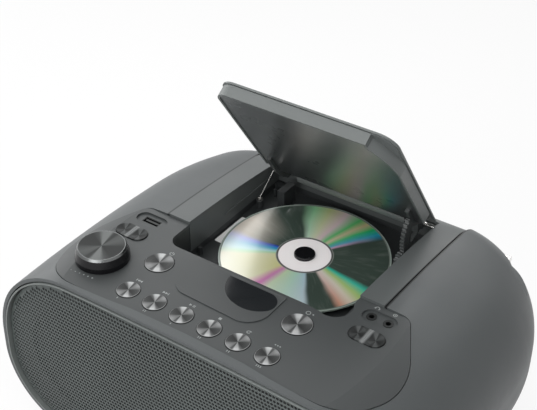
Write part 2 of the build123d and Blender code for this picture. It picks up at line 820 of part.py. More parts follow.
with BuildPart() as damper_housing:
    add(rod_between((59.4, damper_y, damper_z), (65.5, damper_y, damper_z), 5.6))
    add(box_between((60.2, damper_y - 7.5, well_floor_z), (65.5, damper_y + 7.5, well_floor_z + 2)))
    add(box_between((60.2, damper_y - 4, well_floor_z), (65.5, damper_y + 4, damper_z)))
    add(
        rod_between((59, damper_y, damper_z), (62.3, damper_y, damper_z), 1.2 + fit),
        mode=Mode.SUBTRACT,
    )
save(damper_housing.part, "damper_housing")

# Disc, turntable and drive
with BuildPart() as compact_disc:
    with BuildSketch(Plane.XY.offset(disc_top_z - disc_thickness)):
        with Locations((0, spindle_y)):
            Circle(disc_radius)
            Circle(disc_hole_radius, mode=Mode.SUBTRACT)
    extrude(amount=disc_thickness)
save(compact_disc.part, "compact_disc")

disc_low = disc_top_z - disc_thickness
with BuildPart() as turntable:
    with BuildSketch(Plane.XY.offset(disc_low - 2)):
        with Locations((0, spindle_y)):
            Circle(turntable_radius)
    extrude(amount=2)
    with BuildSketch(Plane.XY.offset(disc_low)):
        with Locations((0, spindle_y)):
            Circle(disc_hole_radius - fit)
    extrude(amount=3.2)
    fillet(turntable.faces().sort_by(Axis.Z)[-1].edges(), 0.8)
    with BuildSketch(Plane.XY.offset(disc_low - 6)):
        with Locations((0, spindle_y)):
            Circle(4)
    extrude(amount=4)
    add(rod_between((0, spindle_y, chassis_z), (0, spindle_y, disc_low - 4), 1.0))
    ball_places = [(*polar(6.4, 90 + 120 * k, (0, spindle_y)), disc_top_z + 1.0) for k in range(3)]
    for place in ball_places:
        with Locations(place):
            Sphere(1.05, mode=Mode.SUBTRACT)
save(turntable.part, "turntable")

with BuildPart() as chuck_balls:
    for place in ball_places:
        with Locations(place):
            Sphere(1.0)
save(chuck_balls.part, "chuck_balls")

grommet_places = ((-34, -6), (-34, 62), (66, -6), (66, 58))
grommet_radius = 4.5
grommet_height = well_floor_z - well_wall - chassis_z - 3
feed_y = rack_y + feed_teeth * feed_module / 2
feed_motor_x = feed_x - (feed_teeth + feed_pinion_teeth) * feed_module / 2
with BuildPart() as drive_chassis:
    add(box_between((-40, -12, chassis_z), (72, 68, chassis_z + 3)))
    for y in rod_y:
        low_y, high_y = y - rod_bracket_half, y + rod_bracket_half
        add(box_between((-24, low_y, chassis_z + 2), (-20.5, high_y, rod_z + 2.5)))
        add(box_between((69, low_y, chassis_z + 2), (72, high_y, rod_z + 2.5)))
    for y in rod_y:
        add(rod_between((-22, y, rod_z), (70.5, y, rod_z), rod_radius), mode=Mode.SUBTRACT)
    with Locations((0, spindle_y, chassis_z)):
        Cylinder(3, 10, mode=Mode.SUBTRACT)
    with Locations((feed_motor_x, feed_y, chassis_z)):
        Cylinder(2, 10, mode=Mode.SUBTRACT)
    with Locations((feed_x, feed_y, chassis_z + 3.4)):
        Cylinder(2.6, 1.0)
    with Locations((feed_x, feed_y, chassis_z + 5.5)):
        Cylinder(1.2, 6)
    for x, y in grommet_places:
        with Locations((x, y, chassis_z)):
            Cylinder(2.0, 10, mode=Mode.SUBTRACT)
save(drive_chassis.part, "drive_chassis")

with BuildPart() as drive_grommets:
    for x, y in grommet_places:
        with Locations((x, y, chassis_z + 3 + grommet_height / 2)):
            Cylinder(grommet_radius, grommet_height)
        with Locations((x, y, chassis_z + 1.5)):
            Cylinder(2.0 - seat_gap, 3.0)
        with Locations((x, y, chassis_z + 5)):
            Cylinder(1.2, 14, mode=Mode.SUBTRACT)
save(drive_grommets.part, "drive_grommets")

with BuildPart() as guide_rods:
    for y in rod_y:
        add(rod_between((-22, y, rod_z), (70.5, y, rod_z), rod_radius))
save(guide_rods.part, "guide_rods")

rack_pitch = math.pi * feed_module
with BuildPart() as laser_sled:
    add(box_between((lens_x - 10, 4.5, chassis_z + 3.5), (lens_x + 10, 47.2, rod_z + 3)))
    neck_low = (lens_x - sled_neck[0], spindle_y - sled_neck[1], rod_z)
    neck_high = (lens_x + sled_neck[0], spindle_y + sled_neck[1], rod_z + 6)
    add(box_between(neck_low, neck_high))
    rack_low_x = lens_x - 18
    rack_low_y = rod_y[1] + rod_bracket_half + moving_gap
    rack_high_x = feed_x + 6
    add(
        box_between((rack_low_x, rack_low_y, chassis_z + 4), (rack_high_x, 49.32, chassis_z + 6.6))
    )
    with BuildSketch(Plane.XY.offset(chassis_z + 4)):
        first = math.ceil((rack_low_x - feed_x + 1.2) / rack_pitch - 0.5)
        last = math.floor((rack_high_x - feed_x - 1.2) / rack_pitch - 0.5)
        for k in range(first, last + 1):
            x = feed_x + (k + 0.5) * rack_pitch
            low = rack_pitch / 4 + 0.25 * feed_module - 0.06
            high = rack_pitch / 4 - 0.22 * feed_module - 0.06
            with BuildLine():
                Polyline(
                    (x - low, 49.3), (x + low, 49.3), (x + high, 50.48), (x - high, 50.48), (x - low, 49.3)
                )
            make_face()
    extrude(amount=2.6)
    for y in rod_y:
        add(rod_between((0, y, rod_z), (60, y, rod_z), rod_radius + fit), mode=Mode.SUBTRACT)
save(laser_sled.part, "laser_sled")

with BuildPart() as laser_lens:
    with BuildSketch(Plane.XY.offset(rod_z + 6)):
        with Locations((lens_x, spindle_y)):
            Circle(3.4)
    extrude(amount=1.0)
    with BuildSketch(Plane.XY.offset(rod_z + 7)):
        with Locations((lens_x, spindle_y)):
            Circle(2.2)
    extrude(amount=0.8)
save(laser_lens.part, "laser_lens")

with BuildPart() as feed_gear:
    with BuildSketch(Plane.XY.offset(chassis_z + 4)):
        with Locations((feed_x, feed_y)):
            Polygon(
                *involute_gear(feed_teeth, feed_module, turn=-90), align=None
            )
            Circle(1.2 + fit, mode=Mode.SUBTRACT)
    extrude(amount=2.4)
save(feed_gear.part, "feed_gear")

with BuildPart() as feed_pinion:
    with BuildSketch(Plane.XY.offset(chassis_z + 4)):
        with Locations((feed_motor_x, feed_y)):
            Polygon(
                *involute_gear(feed_pinion_teeth, feed_module, turn=18), align=None
            )
    extrude(amount=2.4)
    with Locations((feed_motor_x, feed_y, chassis_z + 2)):
        Cylinder(0.8, 4)
save(feed_pinion.part, "feed_pinion")

with BuildPart() as drive_motors:
    with Locations((0, spindle_y, chassis_z - 6)):
        Cylinder(12, 12)
    with Locations((0, spindle_y, chassis_z - 12.75)):
        Cylinder(4, 1.5)
    with Locations((feed_motor_x, feed_y, chassis_z - 6)):
        Cylinder(7, 12)
save(drive_motors.part, "drive_motors")

# Buttons: each has a flange under the panel and runs straight down
button_names = ["skip_back", "skip_forward", "play", "stop", "repeat", "memory", "power", "function"]
for name, (x, y), radius in zip(button_names, switch_places, button_radii):
    with BuildPart() as button:
        with BuildSketch(Plane.XY.offset(button_low)):
            with Locations((x, y)):
                Circle(radius + 0.9)
        extrude(amount=1.2)
        with BuildSketch(Plane.XY.offset(button_low + 1)):
            with Locations((x, y)):
                Circle(radius)
        extrude(amount=panel_z + button_proud - button_low - 1)
        chamfer(button.faces().sort_by(Axis.Z)[-1].edges(), 0.5)
        dish = 140.0
        with Locations((x, y, panel_z + button_proud - 0.35 + dish)):
            Sphere(dish, mode=Mode.SUBTRACT)
    save(button.part, f"{name}_button")

# Rockers: ovals that tip about their middle, with a dished spot at each end
rocker_names = ["tuning_rocker", "mode_rocker"]
for name, (x, y) in zip(rocker_names, oval_button_places):
    with BuildPart() as rocker:
        with BuildSketch(Plane.XY.offset(rocker_axis_z)):
            with Locations((x, y)):
                SlotOverall(*oval_size)
        extrude(amount=panel_z + button_proud - rocker_axis_z)
        for side in (-1, 1):
            start = y + side * (oval_size[1] / 2 - 0.2)
            end = y + side * (oval_size[1] / 2 + rocker_pin_reach)
            add(rod_between((x, start, rocker_axis_z), (x, end, rocker_axis_z), rocker_pin_radius))
        for side in (-1, 1):
            dish_radius = 16.0
            with Locations((x + side * 6.2, y, panel_z + button_proud - 0.9 + dish_radius)):
                Sphere(dish_radius, mode=Mode.SUBTRACT)
        with Locations((x, y, panel_z + button_proud)):
            Box(0.5, oval_size[1], 0.8, mode=Mode.SUBTRACT)
    save(rocker.part, name)

# Volume knob: gloss skirt, bright ring and spun face on an encoder's shaft
knob_low = panel_z + 0.45
knob_x, knob_y = knob_place
with BuildPart() as volume_knob:
    with BuildSketch(Plane.XZ.offset(-knob_y)):
        with BuildLine():
            Polyline(
                (knob_x, knob_low),
                (knob_x + knob_radius, knob_low),
                (knob_x + knob_radius, knob_low + 3.4),
                (knob_x + knob_radius - 1.4, knob_low + knob_height - 1.6),
                (knob_x + knob_face_radius, knob_low + knob_height - 1.6),
                (knob_x + knob_face_radius, knob_low + knob_height - 2.0),
                (knob_x, knob_low + knob_height - 2.0),
                (knob_x, knob_low),
            )
        make_face()
    revolve(axis=Axis((knob_x, knob_y, 0), (0, 0, 1)))
    with Locations((knob_x, knob_y, knob_low + 2.5)):
        Cylinder(3.0 + fit, 7.0, mode=Mode.SUBTRACT)
save(volume_knob.part, "volume_knob")

with BuildPart() as volume_knob_cap:
    with BuildSketch(Plane.XY.offset(knob_low + knob_height - 2.0)):
        with Locations(knob_place):
            Circle(knob_face_radius - 0.05)
    extrude(amount=2.0)
    with Locations((knob_x, knob_y, knob_low + knob_height - 0.4 + 260)):
        Sphere(260, mode=Mode.SUBTRACT)
save(volume_knob_cap.part, "volume_knob_cap")

with BuildPart() as volume_knob_ring:
    with BuildSketch(Plane.XZ.offset(-knob_y)):
        with BuildLine():
            Polyline(
                (knob_x + knob_face_radius, knob_low + knob_height - 1.6),
                (knob_x + knob_radius - 1.5, knob_low + knob_height - 1.6),
                (knob_x + knob_face_radius + 0.5, knob_low + knob_height),
                (knob_x + knob_face_radius, knob_low + knob_height),
                (knob_x + knob_face_radius, knob_low + knob_height - 1.6),
            )
        make_face()
    revolve(axis=Axis((knob_x, knob_y, 0), (0, 0, 1)))
save(volume_knob_ring.part, "volume_knob_ring")

board_top = board_z + board_thickness
with BuildPart() as volume_encoder:
    add(box_between((knob_x - 6, knob_y - 6, board_top), (knob_x + 6, knob_y + 6, panel_low - 0.1)))
    add(rod_between((knob_x, knob_y, panel_low - 1), (knob_x, knob_y, knob_low + 5.9), 3.0))
save(volume_encoder.part, "volume_encoder")

# Button board with a switch under every button and a pair under each rocker
with BuildPart() as button_board:
    with BuildSketch(Plane.XY.offset(board_z)):
        with Locations((0, -71)):
            Rectangle(192, 54)
        for side in (-1, 1):
            with Locations((side * 88, -34)):
                Rectangle(34, 44)
    extrude(amount=board_thickness)
    for x, y in switch_places:
        with Locations((x, y, (board_top + button_low - button_travel - 0.05) / 2)):
            Box(6, 6, button_low - button_travel - 0.05 - board_top)
    for x, y in oval_button_places:
        for side in (-1, 1):
            with Locations((x + side * 7, y, board_top + 1.8)):
                Box(5, 6, 3.6)
        with Locations((x, y, (board_top + rocker_axis_z - 0.05) / 2)):
            Box(1.6, 6, rocker_axis_z - 0.05 - board_top)
save(button_board.part, "button_board")

with BuildPart() as usb_socket:
    x, y = usb_place
    w, d = usb_size[0] / 2, usb_size[1] / 2
    top = panel_z - recess_depth - 0.3
    add(box_between((x - w, y - d, board_top), (x + w, y + d, top)))
    add(
        box_between((x - w + 0.5, y - d + 0.5, top - 6.4), (x + w - 0.5, y + d - 0.5, above_all_z)),
        mode=Mode.SUBTRACT,
    )
    add(box_between((x - w + 0.9, y - 0.2, top - 6.5), (x + w - 0.9, y + 1.6, top - 0.6)))
save(usb_socket.part, "usb_socket")

with BuildPart() as jack_sockets:
    for x in jack_x:
        add(box_between((x - 4.5, jack_y - 4, board_top), (x + 4.5, jack_y + 4, panel_low - 0.05)))
        add(rod_between((x, jack_y, panel_low - 1), (x, jack_y, panel_z - recess_depth + 0.3), 3.4))
        add(
            rod_between(
                (x, jack_y, board_top + 0.5), (x, jack_y, above_all_z), jack_bore_radius
            ),
            mode=Mode.SUBTRACT,
        )
save(jack_sockets.part, "jack_sockets")

# Front: baffle, frame and perforated sheet (its holes are surface detail)
baffle_solid = front_slab(wall + 0.2, baffle_depth[0], baffle_depth[1])
with BuildPart() as front_baffle:
    add(baffle_solid)
    top_cut = box_between((-150, -130, panel_z - 4.1), (150, -60, above_all_z))
    add(top_cut, mode=Mode.SUBTRACT)
    for side in (-1, 1):
        with Locations(front_plane(20) * Location((side * speaker_x, speaker_z - front_mid_z, 0))):
            Cylinder(44, 60, mode=Mode.SUBTRACT)
save(front_baffle.part, "front_baffle")

frame_outer = front_slab(wall + 0.9, -0.6, baffle_depth[0])
frame_inner = front_slab(wall + 2.0, -3, baffle_depth[0] + 3)
with BuildPart() as grille_frame:
    add(frame_outer)
    add(frame_inner, mode=Mode.SUBTRACT)
save(grille_frame.part, "grille_frame")

with BuildPart() as front_grille:
    add(front_slab(wall + 2.1, grille_depth[0], grille_depth[1]))
save(front_grille.part, "front_grille")

# Loudspeakers: basket with its magnet, and a cone, seated on the back of the baffle
cone_solids = []
for name, side in (("left", -1), ("right", 1)):
    seat = front_plane(baffle_depth[1]) * Location((side * speaker_x, speaker_z - front_mid_z, 0))
    with BuildPart() as basket:
        with BuildSketch(Plane.XZ):
            with BuildLine():
                Polyline(
                    (44.2, 0),
                    (speaker_radius, 0),
                    (speaker_radius, -1.6),
                    (46, -1.6),
                    (44.5, -8),
                    (26, -26),
                    (14, -26),
                    (14, -24.6),
                    (25.4, -24.6),
                    (43, -7.6),
                    (44.2, -1.6),
                    (44.2, 0),
                )
            make_face()
        revolve(axis=Axis.Z)
        for k in range(4):
            window_turn = 45 + 90 * k
            with Locations(Location((*polar(40, window_turn), -17), (0, 0, window_turn))):
                Box(24, 18, 15, mode=Mode.SUBTRACT)
        with BuildSketch(Plane.XY.offset(-38)):
            Circle(26)
        extrude(amount=12)
        with BuildSketch(Plane.XY.offset(-30)):
            Circle(13)
        extrude(amount=10)
    save(seat * basket.part, f"{name}_speaker_driver")
    with BuildPart() as cone:
        with BuildSketch(Plane.XZ):
            with BuildLine():
                Polyline(
                    (13.2, -19),
                    (37, -3.2),
                    (38.2, -2.4),
                    (40, -0.6),
                    (42.2, -1.6),
                    (44.1, -1.4),
                    (44.1, -0.6),
                    (42, -0.8),
                    (40, 0.4),
                    (37.6, -1.6),
                    (12.6, -18.0),
                    (0, -14.5),
                    (0, -15.3),
                    (12.2, -19),
                    (13.2, -19),
                )
            make_face()
        revolve(axis=Axis.Z)
    cone_solids.append(seat * cone.part)
with BuildPart() as speaker_cones:
    add(cone_solids)
save(speaker_cones.part, "speaker_cones")

# Main board, transformer and mains inlet
with BuildPart() as main_board:
    add(box_between((-60, -50, 19.5), (60, 42, 21.1)))
    add(box_between((-20, -20, 21.1), (10, 10, 23.5)))
    for k in range(4):
        add(rod_between((9 + 9 * k, -35, 21.1), (9 + 9 * k, -35, 33), 3.8))
    add(box_between((-56, 20, 21.1), (56, 24, 44)))
    for x in (-50, 50):
        for y in (-40, 30):
            add(rod_between((x, y, 15), (x, y, 22), 1.4), mode=Mode.SUBTRACT)
save(main_board.part, "main_board")

with BuildPart() as screws:
    for x in (-50, 50):
        for y in (-40, 30):
            add(rod_between((x, y, 10), (x, y, 21.1), 1.4))
            add(rod_between((x, y, 21.1), (x, y, 22.6), 2.8))
    for x, y in grommet_places:
        add(rod_between((x, y, chassis_z - 1.6), (x, y, chassis_z), 3.2))
        add(rod_between((x, y, chassis_z), (x, y, chassis_z + 10.8), 1.2))
    x, y = leg_end[:2]
    add(rod_between((x, y, well_floor_z + 0.2), (x, y, well_floor_z + 7), 0.98))
    add(rod_between((x, y, well_floor_z + 7), (x, y, well_floor_z + 8.1), 2.3))
    with Locations((x, y, well_floor_z + 8.1)):
        Box(3.4, 0.6, 1.0, mode=Mode.SUBTRACT)
        Box(0.6, 3.4, 1.0, mode=Mode.SUBTRACT)
save(screws.part, "screws")

with BuildPart() as transformer:
    add(box_between((76, 20, foot_height + wall + seat_gap), (104, 62, 40)))
    add(box_between((80, 12, 12), (100, 70, 34)))
save(transformer.part, "transformer")

with BuildPart() as mains_inlet:
    low_x, high_x = inlet_x
    low_z, high_z = inlet_z
    add(box_between((low_x - 3, 97, low_z - 3), (high_x + 3, back_y - wall, high_z + 3)))
    add(
        box_between(
            (low_x + fit, back_y - wall - 0.5, low_z + fit), (high_x - fit, back_y, high_z - fit)
        )
    )
    add(
        box_between((low_x + 1.6, 100, low_z + 2), (high_x - 1.6, back_y + 2, high_z - 2)),
        mode=Mode.SUBTRACT,
    )
    for side in (-1, 1):
        x = (low_x + high_x) / 2 + side * 4.3
        z = (low_z + high_z) / 2
        add(rod_between((x, 99, z), (x, 112, z), 1.2))
save(mains_inlet.part, "mains_inlet")

# Battery bay's door and contacts
with BuildPart() as battery_door:
    gap = moving_gap
    add(
        box_between(
            (-battery_half_x + gap, battery_front_y + gap, foot_height),
            (battery_half_x - gap, battery_back_y - gap, door_top - gap),
        )
    )
    for k in range(7):
        y = 86 + 1.6 * k
        add(box_between((-14, y, 2), (14, y + 0.8, foot_height + 0.5)), mode=Mode.SUBTRACT)
save(battery_door.part, "battery_door")

with BuildPart() as battery_contacts:
    for side in (-1, 1):
        for y in (61, 87):
            low_x, high_x = sorted((side * battery_half_x, side * (battery_half_x - 0.8)))
            add(box_between((low_x, y - 8, 12), (high_x, y + 8, 32)))
save(battery_contacts.part, "battery_contacts")

# Telescopic antenna lying in its groove
with BuildPart() as antenna_base:
    add(groove_block(antenna_pivot_x, antenna_pivot_x + 7, 4.2, 3.3, 3.3))
    add(
        groove_plane
        * Pos(antenna_pivot_x, 0, 0)
        * Rot(90, 0, 0)
        * Cylinder(4.2, 8.4, mode=Mode.PRIVATE)
    )
    tube_start = (antenna_pivot_x + 6, antenna_y, antenna_z)
    tube_end = (antenna_tip_x - 6, antenna_y, antenna_z)
    add(rod_between(tube_start, tube_end, antenna_tube_radius))
    bore_start = (antenna_pivot_x + 8, antenna_y, antenna_z)
    bore_end = (130, antenna_y, antenna_z)
    add(rod_between(bore_start, bore_end, antenna_middle_radius + fit), mode=Mode.SUBTRACT)
    add(
        groove_plane
        * Pos(antenna_pivot_x, 0, 0)
        * Rot(90, 0, 0)
        * Cylinder(1.5 + fit, 20, mode=Mode.PRIVATE),
        mode=Mode.SUBTRACT,
    )
save(antenna_base.part, "antenna_base")

with BuildPart() as antenna_middle:
    axis_at = (antenna_y, antenna_z)
    add(rod_between((antenna_pivot_x + 9, *axis_at), (antenna_tip_x - 6, *axis_at), antenna_middle_radius))
    add(
        rod_between((antenna_pivot_x + 11, *axis_at), (130, *axis_at), antenna_inner_radius + fit),
        mode=Mode.SUBTRACT,
    )
save(antenna_middle.part, "antenna_middle")

with BuildPart() as antenna_tip:
    add(rod_between((antenna_pivot_x + 12, *axis_at), (antenna_tip_x, *axis_at), antenna_inner_radius))
    add(rod_between((antenna_tip_x - 5.9, *axis_at), (antenna_tip_x, *axis_at), antenna_tube_radius))
save(antenna_tip.part, "antenna_tip")

# Feet
with BuildPart() as rubber_feet:
    for side in (-1, 1):
        for y in (-86, 74):
            with Locations((side * 88, y, (foot_height - seat_gap) / 2)):
                Cylinder(8, foot_height - seat_gap)
save(rubber_feet.part, "rubber_feet")
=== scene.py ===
import bpy
import bmesh
import colorsys
import json
import math
from mathutils import Matrix, Vector
from mathutils.bvhtree import BVHTree


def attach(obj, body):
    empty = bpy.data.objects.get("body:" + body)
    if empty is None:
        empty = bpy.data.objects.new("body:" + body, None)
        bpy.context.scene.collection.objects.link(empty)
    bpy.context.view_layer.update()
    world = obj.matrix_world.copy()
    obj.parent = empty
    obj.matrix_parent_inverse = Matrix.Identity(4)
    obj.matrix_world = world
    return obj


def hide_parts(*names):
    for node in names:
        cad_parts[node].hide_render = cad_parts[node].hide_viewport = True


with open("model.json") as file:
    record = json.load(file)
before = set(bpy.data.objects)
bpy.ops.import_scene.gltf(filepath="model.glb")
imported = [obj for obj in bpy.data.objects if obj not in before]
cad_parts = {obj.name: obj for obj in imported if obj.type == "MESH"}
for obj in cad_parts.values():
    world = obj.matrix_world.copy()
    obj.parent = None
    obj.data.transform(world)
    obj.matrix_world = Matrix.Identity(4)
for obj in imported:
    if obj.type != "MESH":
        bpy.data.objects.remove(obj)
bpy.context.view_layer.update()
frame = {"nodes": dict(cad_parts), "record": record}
nodes = frame["nodes"]


# Material helpers
NOISE_ROUGHNESS = 0.55
DRIFT_SCALE = 9.0
SHEEN_SCALE = 35.0
METAL_GRAIN = 900.0
METAL_DEPTH = 0.00001
METAL_SPREAD = 0.05
COAT_ROUGHNESS = 0.30


def new_material(name):
    material = bpy.data.materials.new(name)
    material.use_nodes = True
    tree = material.node_tree
    tree.nodes.clear()
    out = tree.nodes.new("ShaderNodeOutputMaterial")
    shader = tree.nodes.new("ShaderNodeBsdfPrincipled")
    tree.links.new(shader.outputs[0], out.inputs[0])
    return material, tree, shader


def math_node(tree, operation, first, second=None, clamp=False):
    made = tree.nodes.new("ShaderNodeMath")
    made.operation = operation
    made.use_clamp = clamp
    for socket, value in zip(made.inputs, (first, second)):
        if value is None:
            continue
        if isinstance(value, (int, float)):
            socket.default_value = value
        else:
            tree.links.new(value, socket)
    return made.outputs[0]


def coordinates(tree):
    return tree.nodes.new("ShaderNodeTexCoord").outputs["Object"]


def noise(tree, scale, detail=4.0):
    made = tree.nodes.new("ShaderNodeTexNoise")
    made.inputs["Scale"].default_value = scale
    made.inputs["Detail"].default_value = detail
    made.inputs["Roughness"].default_value = NOISE_ROUGHNESS
    tree.links.new(coordinates(tree), made.inputs["Vector"])
    return made.outputs["Fac"]


def remap(tree, source, low, high, to_low, to_high):
    made = tree.nodes.new("ShaderNodeMapRange")
    tree.links.new(source, made.inputs["Value"])
    for key, value in zip(("From Min", "From Max", "To Min", "To Max"), (low, high, to_low, to_high)):
        made.inputs[key].default_value = value
    return made.outputs["Result"]


def ramp(tree, source, stops):
    made = tree.nodes.new("ShaderNodeValToRGB")
    elements = made.color_ramp.elements
    while len(elements) < len(stops):
        elements.new(0.5)
    for element, (place, colour) in zip(elements, stops):
        element.position = place
        element.color = (*colour, 1)
    tree.links.new(source, made.inputs["Fac"])
    return made.outputs["Color"]


def add_bump(tree, shader, height, distance, strength=1.0):
    bump = tree.nodes.new("ShaderNodeBump")
    bump.inputs["Strength"].default_value = strength
    bump.inputs["Distance"].default_value = distance
    tree.links.new(height, bump.inputs["Height"])
    tree.links.new(bump.outputs[0], shader.inputs["Normal"])


def plastic(
    name, colour, roughness=0.42, grain=1500.0, grain_depth=0.00002, spread=0.06, coat=0.0, shine=0.5
):
    """Moulded plastic: fine spark grain, slight colour drift and uneven sheen."""
    material, tree, shader = new_material(name)
    drift = noise(tree, DRIFT_SCALE, 3.0)
    low = [c * (1 - spread) for c in colour]
    high = [min(c * (1 + spread), 1) for c in colour]
    tree.links.new(ramp(tree, drift, [(0.3, low), (0.7, high)]), shader.inputs["Base Color"])
    sheen = noise(tree, SHEEN_SCALE, 5.0)
    tree.links.new(
        remap(tree, sheen, 0.3, 0.7, roughness - 0.04, roughness + 0.05), shader.inputs["Roughness"]
    )
    add_bump(tree, shader, noise(tree, grain, 2.0), grain_depth, 0.6)
    shader.inputs["Coat Weight"].default_value = coat
    shader.inputs["Coat Roughness"].default_value = COAT_ROUGHNESS
    shader.inputs["Specular IOR Level"].default_value = shine
    return material


def metal(name, colour, roughness):
    """Bare metal: slight drift of tone, fine grain and uneven sheen."""
    material, tree, shader = new_material(name)
    shader.inputs["Metallic"].default_value = 1.0
    drift = noise(tree, 120.0, 4.0)
    low = [c * (1 - METAL_SPREAD) for c in colour]
    tree.links.new(ramp(tree, drift, [(0.3, low), (0.7, colour)]), shader.inputs["Base Color"])
    tree.links.new(
        remap(tree, noise(tree, 300.0), 0.3, 0.7, roughness - 0.05, roughness + 0.08),
        shader.inputs["Roughness"],
    )
    add_bump(tree, shader, noise(tree, METAL_GRAIN), METAL_DEPTH, 0.5)
    return material


def paint(name, material):
    mesh = nodes[name].data
    mesh.materials.clear()
    mesh.materials.append(material)


def smooth(obj, angle=35.0):
    for polygon in obj.data.polygons:
        polygon.use_smooth = True
    modifier = obj.modifiers.new("edges", "EDGE_SPLIT")
    modifier.split_angle = math.radians(angle)


# Colours of the mouldings, as linear values
SHELL = (0.085, 0.093, 0.095)
PANEL = (0.056, 0.061, 0.062)
DECK = (0.098, 0.107, 0.107)
WELL = (0.024, 0.027, 0.028)
LID = (0.145, 0.157, 0.155)


def split_position(tree, centre):
    """Object coordinates measured from a point, as three separate values."""
    shift = tree.nodes.new("ShaderNodeVectorMath")
    shift.operation = "SUBTRACT"
    shift.inputs[1].default_value = centre
    tree.links.new(coordinates(tree), shift.inputs[0])
    parts = tree.nodes.new("ShaderNodeSeparateXYZ")
    tree.links.new(shift.outputs[0], parts.inputs[0])
    return parts.outputs[0], parts.outputs[1], parts.outputs[2]


def combine(tree, x, y, z):
    made = tree.nodes.new("ShaderNodeCombineXYZ")
    for socket, value in zip(made.inputs, (x, y, z)):
        if isinstance(value, (int, float)):
            socket.default_value = value
        else:
            tree.links.new(value, socket)
    return made.outputs[0]


def mix_colour(tree, factor, first, second):
    made = tree.nodes.new("ShaderNodeMix")
    made.data_type = "RGBA"
    for socket, value in zip((made.inputs[0], made.inputs[6], made.inputs[7]), (factor, first, second)):
        if isinstance(value, (int, float)):
            socket.default_value = value
        elif isinstance(value, tuple):
            socket.default_value = (*value, 1)
        else:
            tree.links.new(value, socket)
    return made.outputs[2]


def round_about(tree, centre, mirror_half=0.0):
    """Turn, as a share of a full one, and radius about an upright axis; two axes if mirrored."""
    x, y, z = split_position(tree, centre)
    if mirror_half:
        side = math_node(tree, "SIGN", x)
        x = math_node(tree, "SUBTRACT", x, math_node(tree, "MULTIPLY", side, mirror_half))
    turn = math_node(tree, "ARCTAN2", y, x)
    share = math_node(tree, "ADD", math_node(tree, "DIVIDE", turn, 2 * math.pi), 1.0)
    share = math_node(tree, "FRACT", share)
    square = math_node(tree, "ADD", math_node(tree, "MULTIPLY", x, x), math_node(tree, "MULTIPLY", y, y))
    radius = math_node(tree, "SQRT", square)
    return share, radius, z, x, y


# Painted sheen of a spun face over half a turn, light and dark fans in the base colour: place and tone
SPUN_PAINTED_SHEEN_STOPS = (
    (0.00, 0.07),
    (0.16, 0.10),
    (0.25, 0.36),
    (0.34, 0.50),
    (0.44, 0.42),
    (0.49, 0.13),
    (0.54, 0.16),
    (0.585, 0.95),
    (0.70, 0.86),
    (0.77, 0.22),
    (0.86, 0.05),
    (1.00, 0.07),
)
TURNING_SCALE = 5200.0
SPUN_METALLIC = 0.2
SPUN_ROUGHNESS = 0.46
SPUN_SHINE = 0.12
SPUN_STRETCH = 0.6
SPUN_DEPTH = 0.000012
SPUN_SIDE = (0.008, 0.009, 0.009)


def spun_face(name, centre, dark, light, face_radius, face_z, mirror_half=0.0, edge=0.0005, bridge=None):
    """Metal turned on a lathe: fine rings, fans of painted sheen, a painted highlight on the bright edge and
    black sides.
    """
    material, tree, shader = new_material(name)
    share, radius, z, x, y = round_about(tree, (*centre, 0.0), mirror_half)
    half_turn = math_node(tree, "FRACT", math_node(tree, "MULTIPLY", share, 2.0))
    # Painted sheen: light and dark fans painted into the base colour by the turn round the centre
    fan = ramp(tree, half_turn, [(place, (tone, tone, tone)) for place, tone in SPUN_PAINTED_SHEEN_STOPS])
    rings = tree.nodes.new("ShaderNodeTexNoise")
    rings.inputs["Scale"].default_value = 1.0
    rings.inputs["Detail"].default_value = 3.0
    turning = math_node(tree, "MULTIPLY", radius, TURNING_SCALE)
    tree.links.new(combine(tree, turning, 0.0, 0.0), rings.inputs["Vector"])
    painted_sheen_value = math_node(tree, "ADD", fan, remap(tree, rings.outputs["Fac"], 0.3, 0.7, -0.05, 0.05))
    tone = mix_colour(tree, math_node(tree, "MAXIMUM", painted_sheen_value, 0.0), dark, light)
    if bridge:
        middle = math_node(tree, "ABSOLUTE", split_position(tree, (*centre, 0.0))[0])
        tone = mix_colour(tree, remap(tree, middle, 0.0004, 0.0022, 1.0, 0.0), tone, bridge)
    # Painted highlight: a bright ring at the edge of the face, painted into the base colour
    rim = remap(tree, radius, face_radius - edge, face_radius - 0.3 * edge, 0.0, 1.0)
    if mirror_half == 0.0:
        tone = mix_colour(tree, rim, tone, tuple(min(1.0, 0.9 * c) for c in light))
    side = remap(tree, z, face_z - 0.0005, face_z - 0.0002, 0.0, 1.0)
    tone = mix_colour(tree, side, SPUN_SIDE, tone)
    tree.links.new(tone, shader.inputs["Base Color"])
    tree.links.new(math_node(tree, "MULTIPLY", side, SPUN_METALLIC), shader.inputs["Metallic"])
    shader.inputs["Roughness"].default_value = SPUN_ROUGHNESS
    shader.inputs["Specular IOR Level"].default_value = SPUN_SHINE
    shader.inputs["Anisotropic"].default_value = SPUN_STRETCH
    tangent = combine(tree, math_node(tree, "MULTIPLY", y, -1.0), x, 0.0)
    tree.links.new(tangent, shader.inputs["Tangent"])
    add_bump(tree, shader, rings.outputs["Fac"], SPUN_DEPTH, 0.5)
    return material


# Where the bright fans of painted sheen on the disc start and end, in degrees round the axis
FAN_EDGES = (51, 126, 142, 307, 324, 357)
# Where the widest fan starts near the hub; near the rim it goes on as a pale stretch
WIDE_FAN_START = 184
# A pink edge that shows only near the hub: place, hue and strength
PINK_EDGE = (54, 0.90, 0.45)
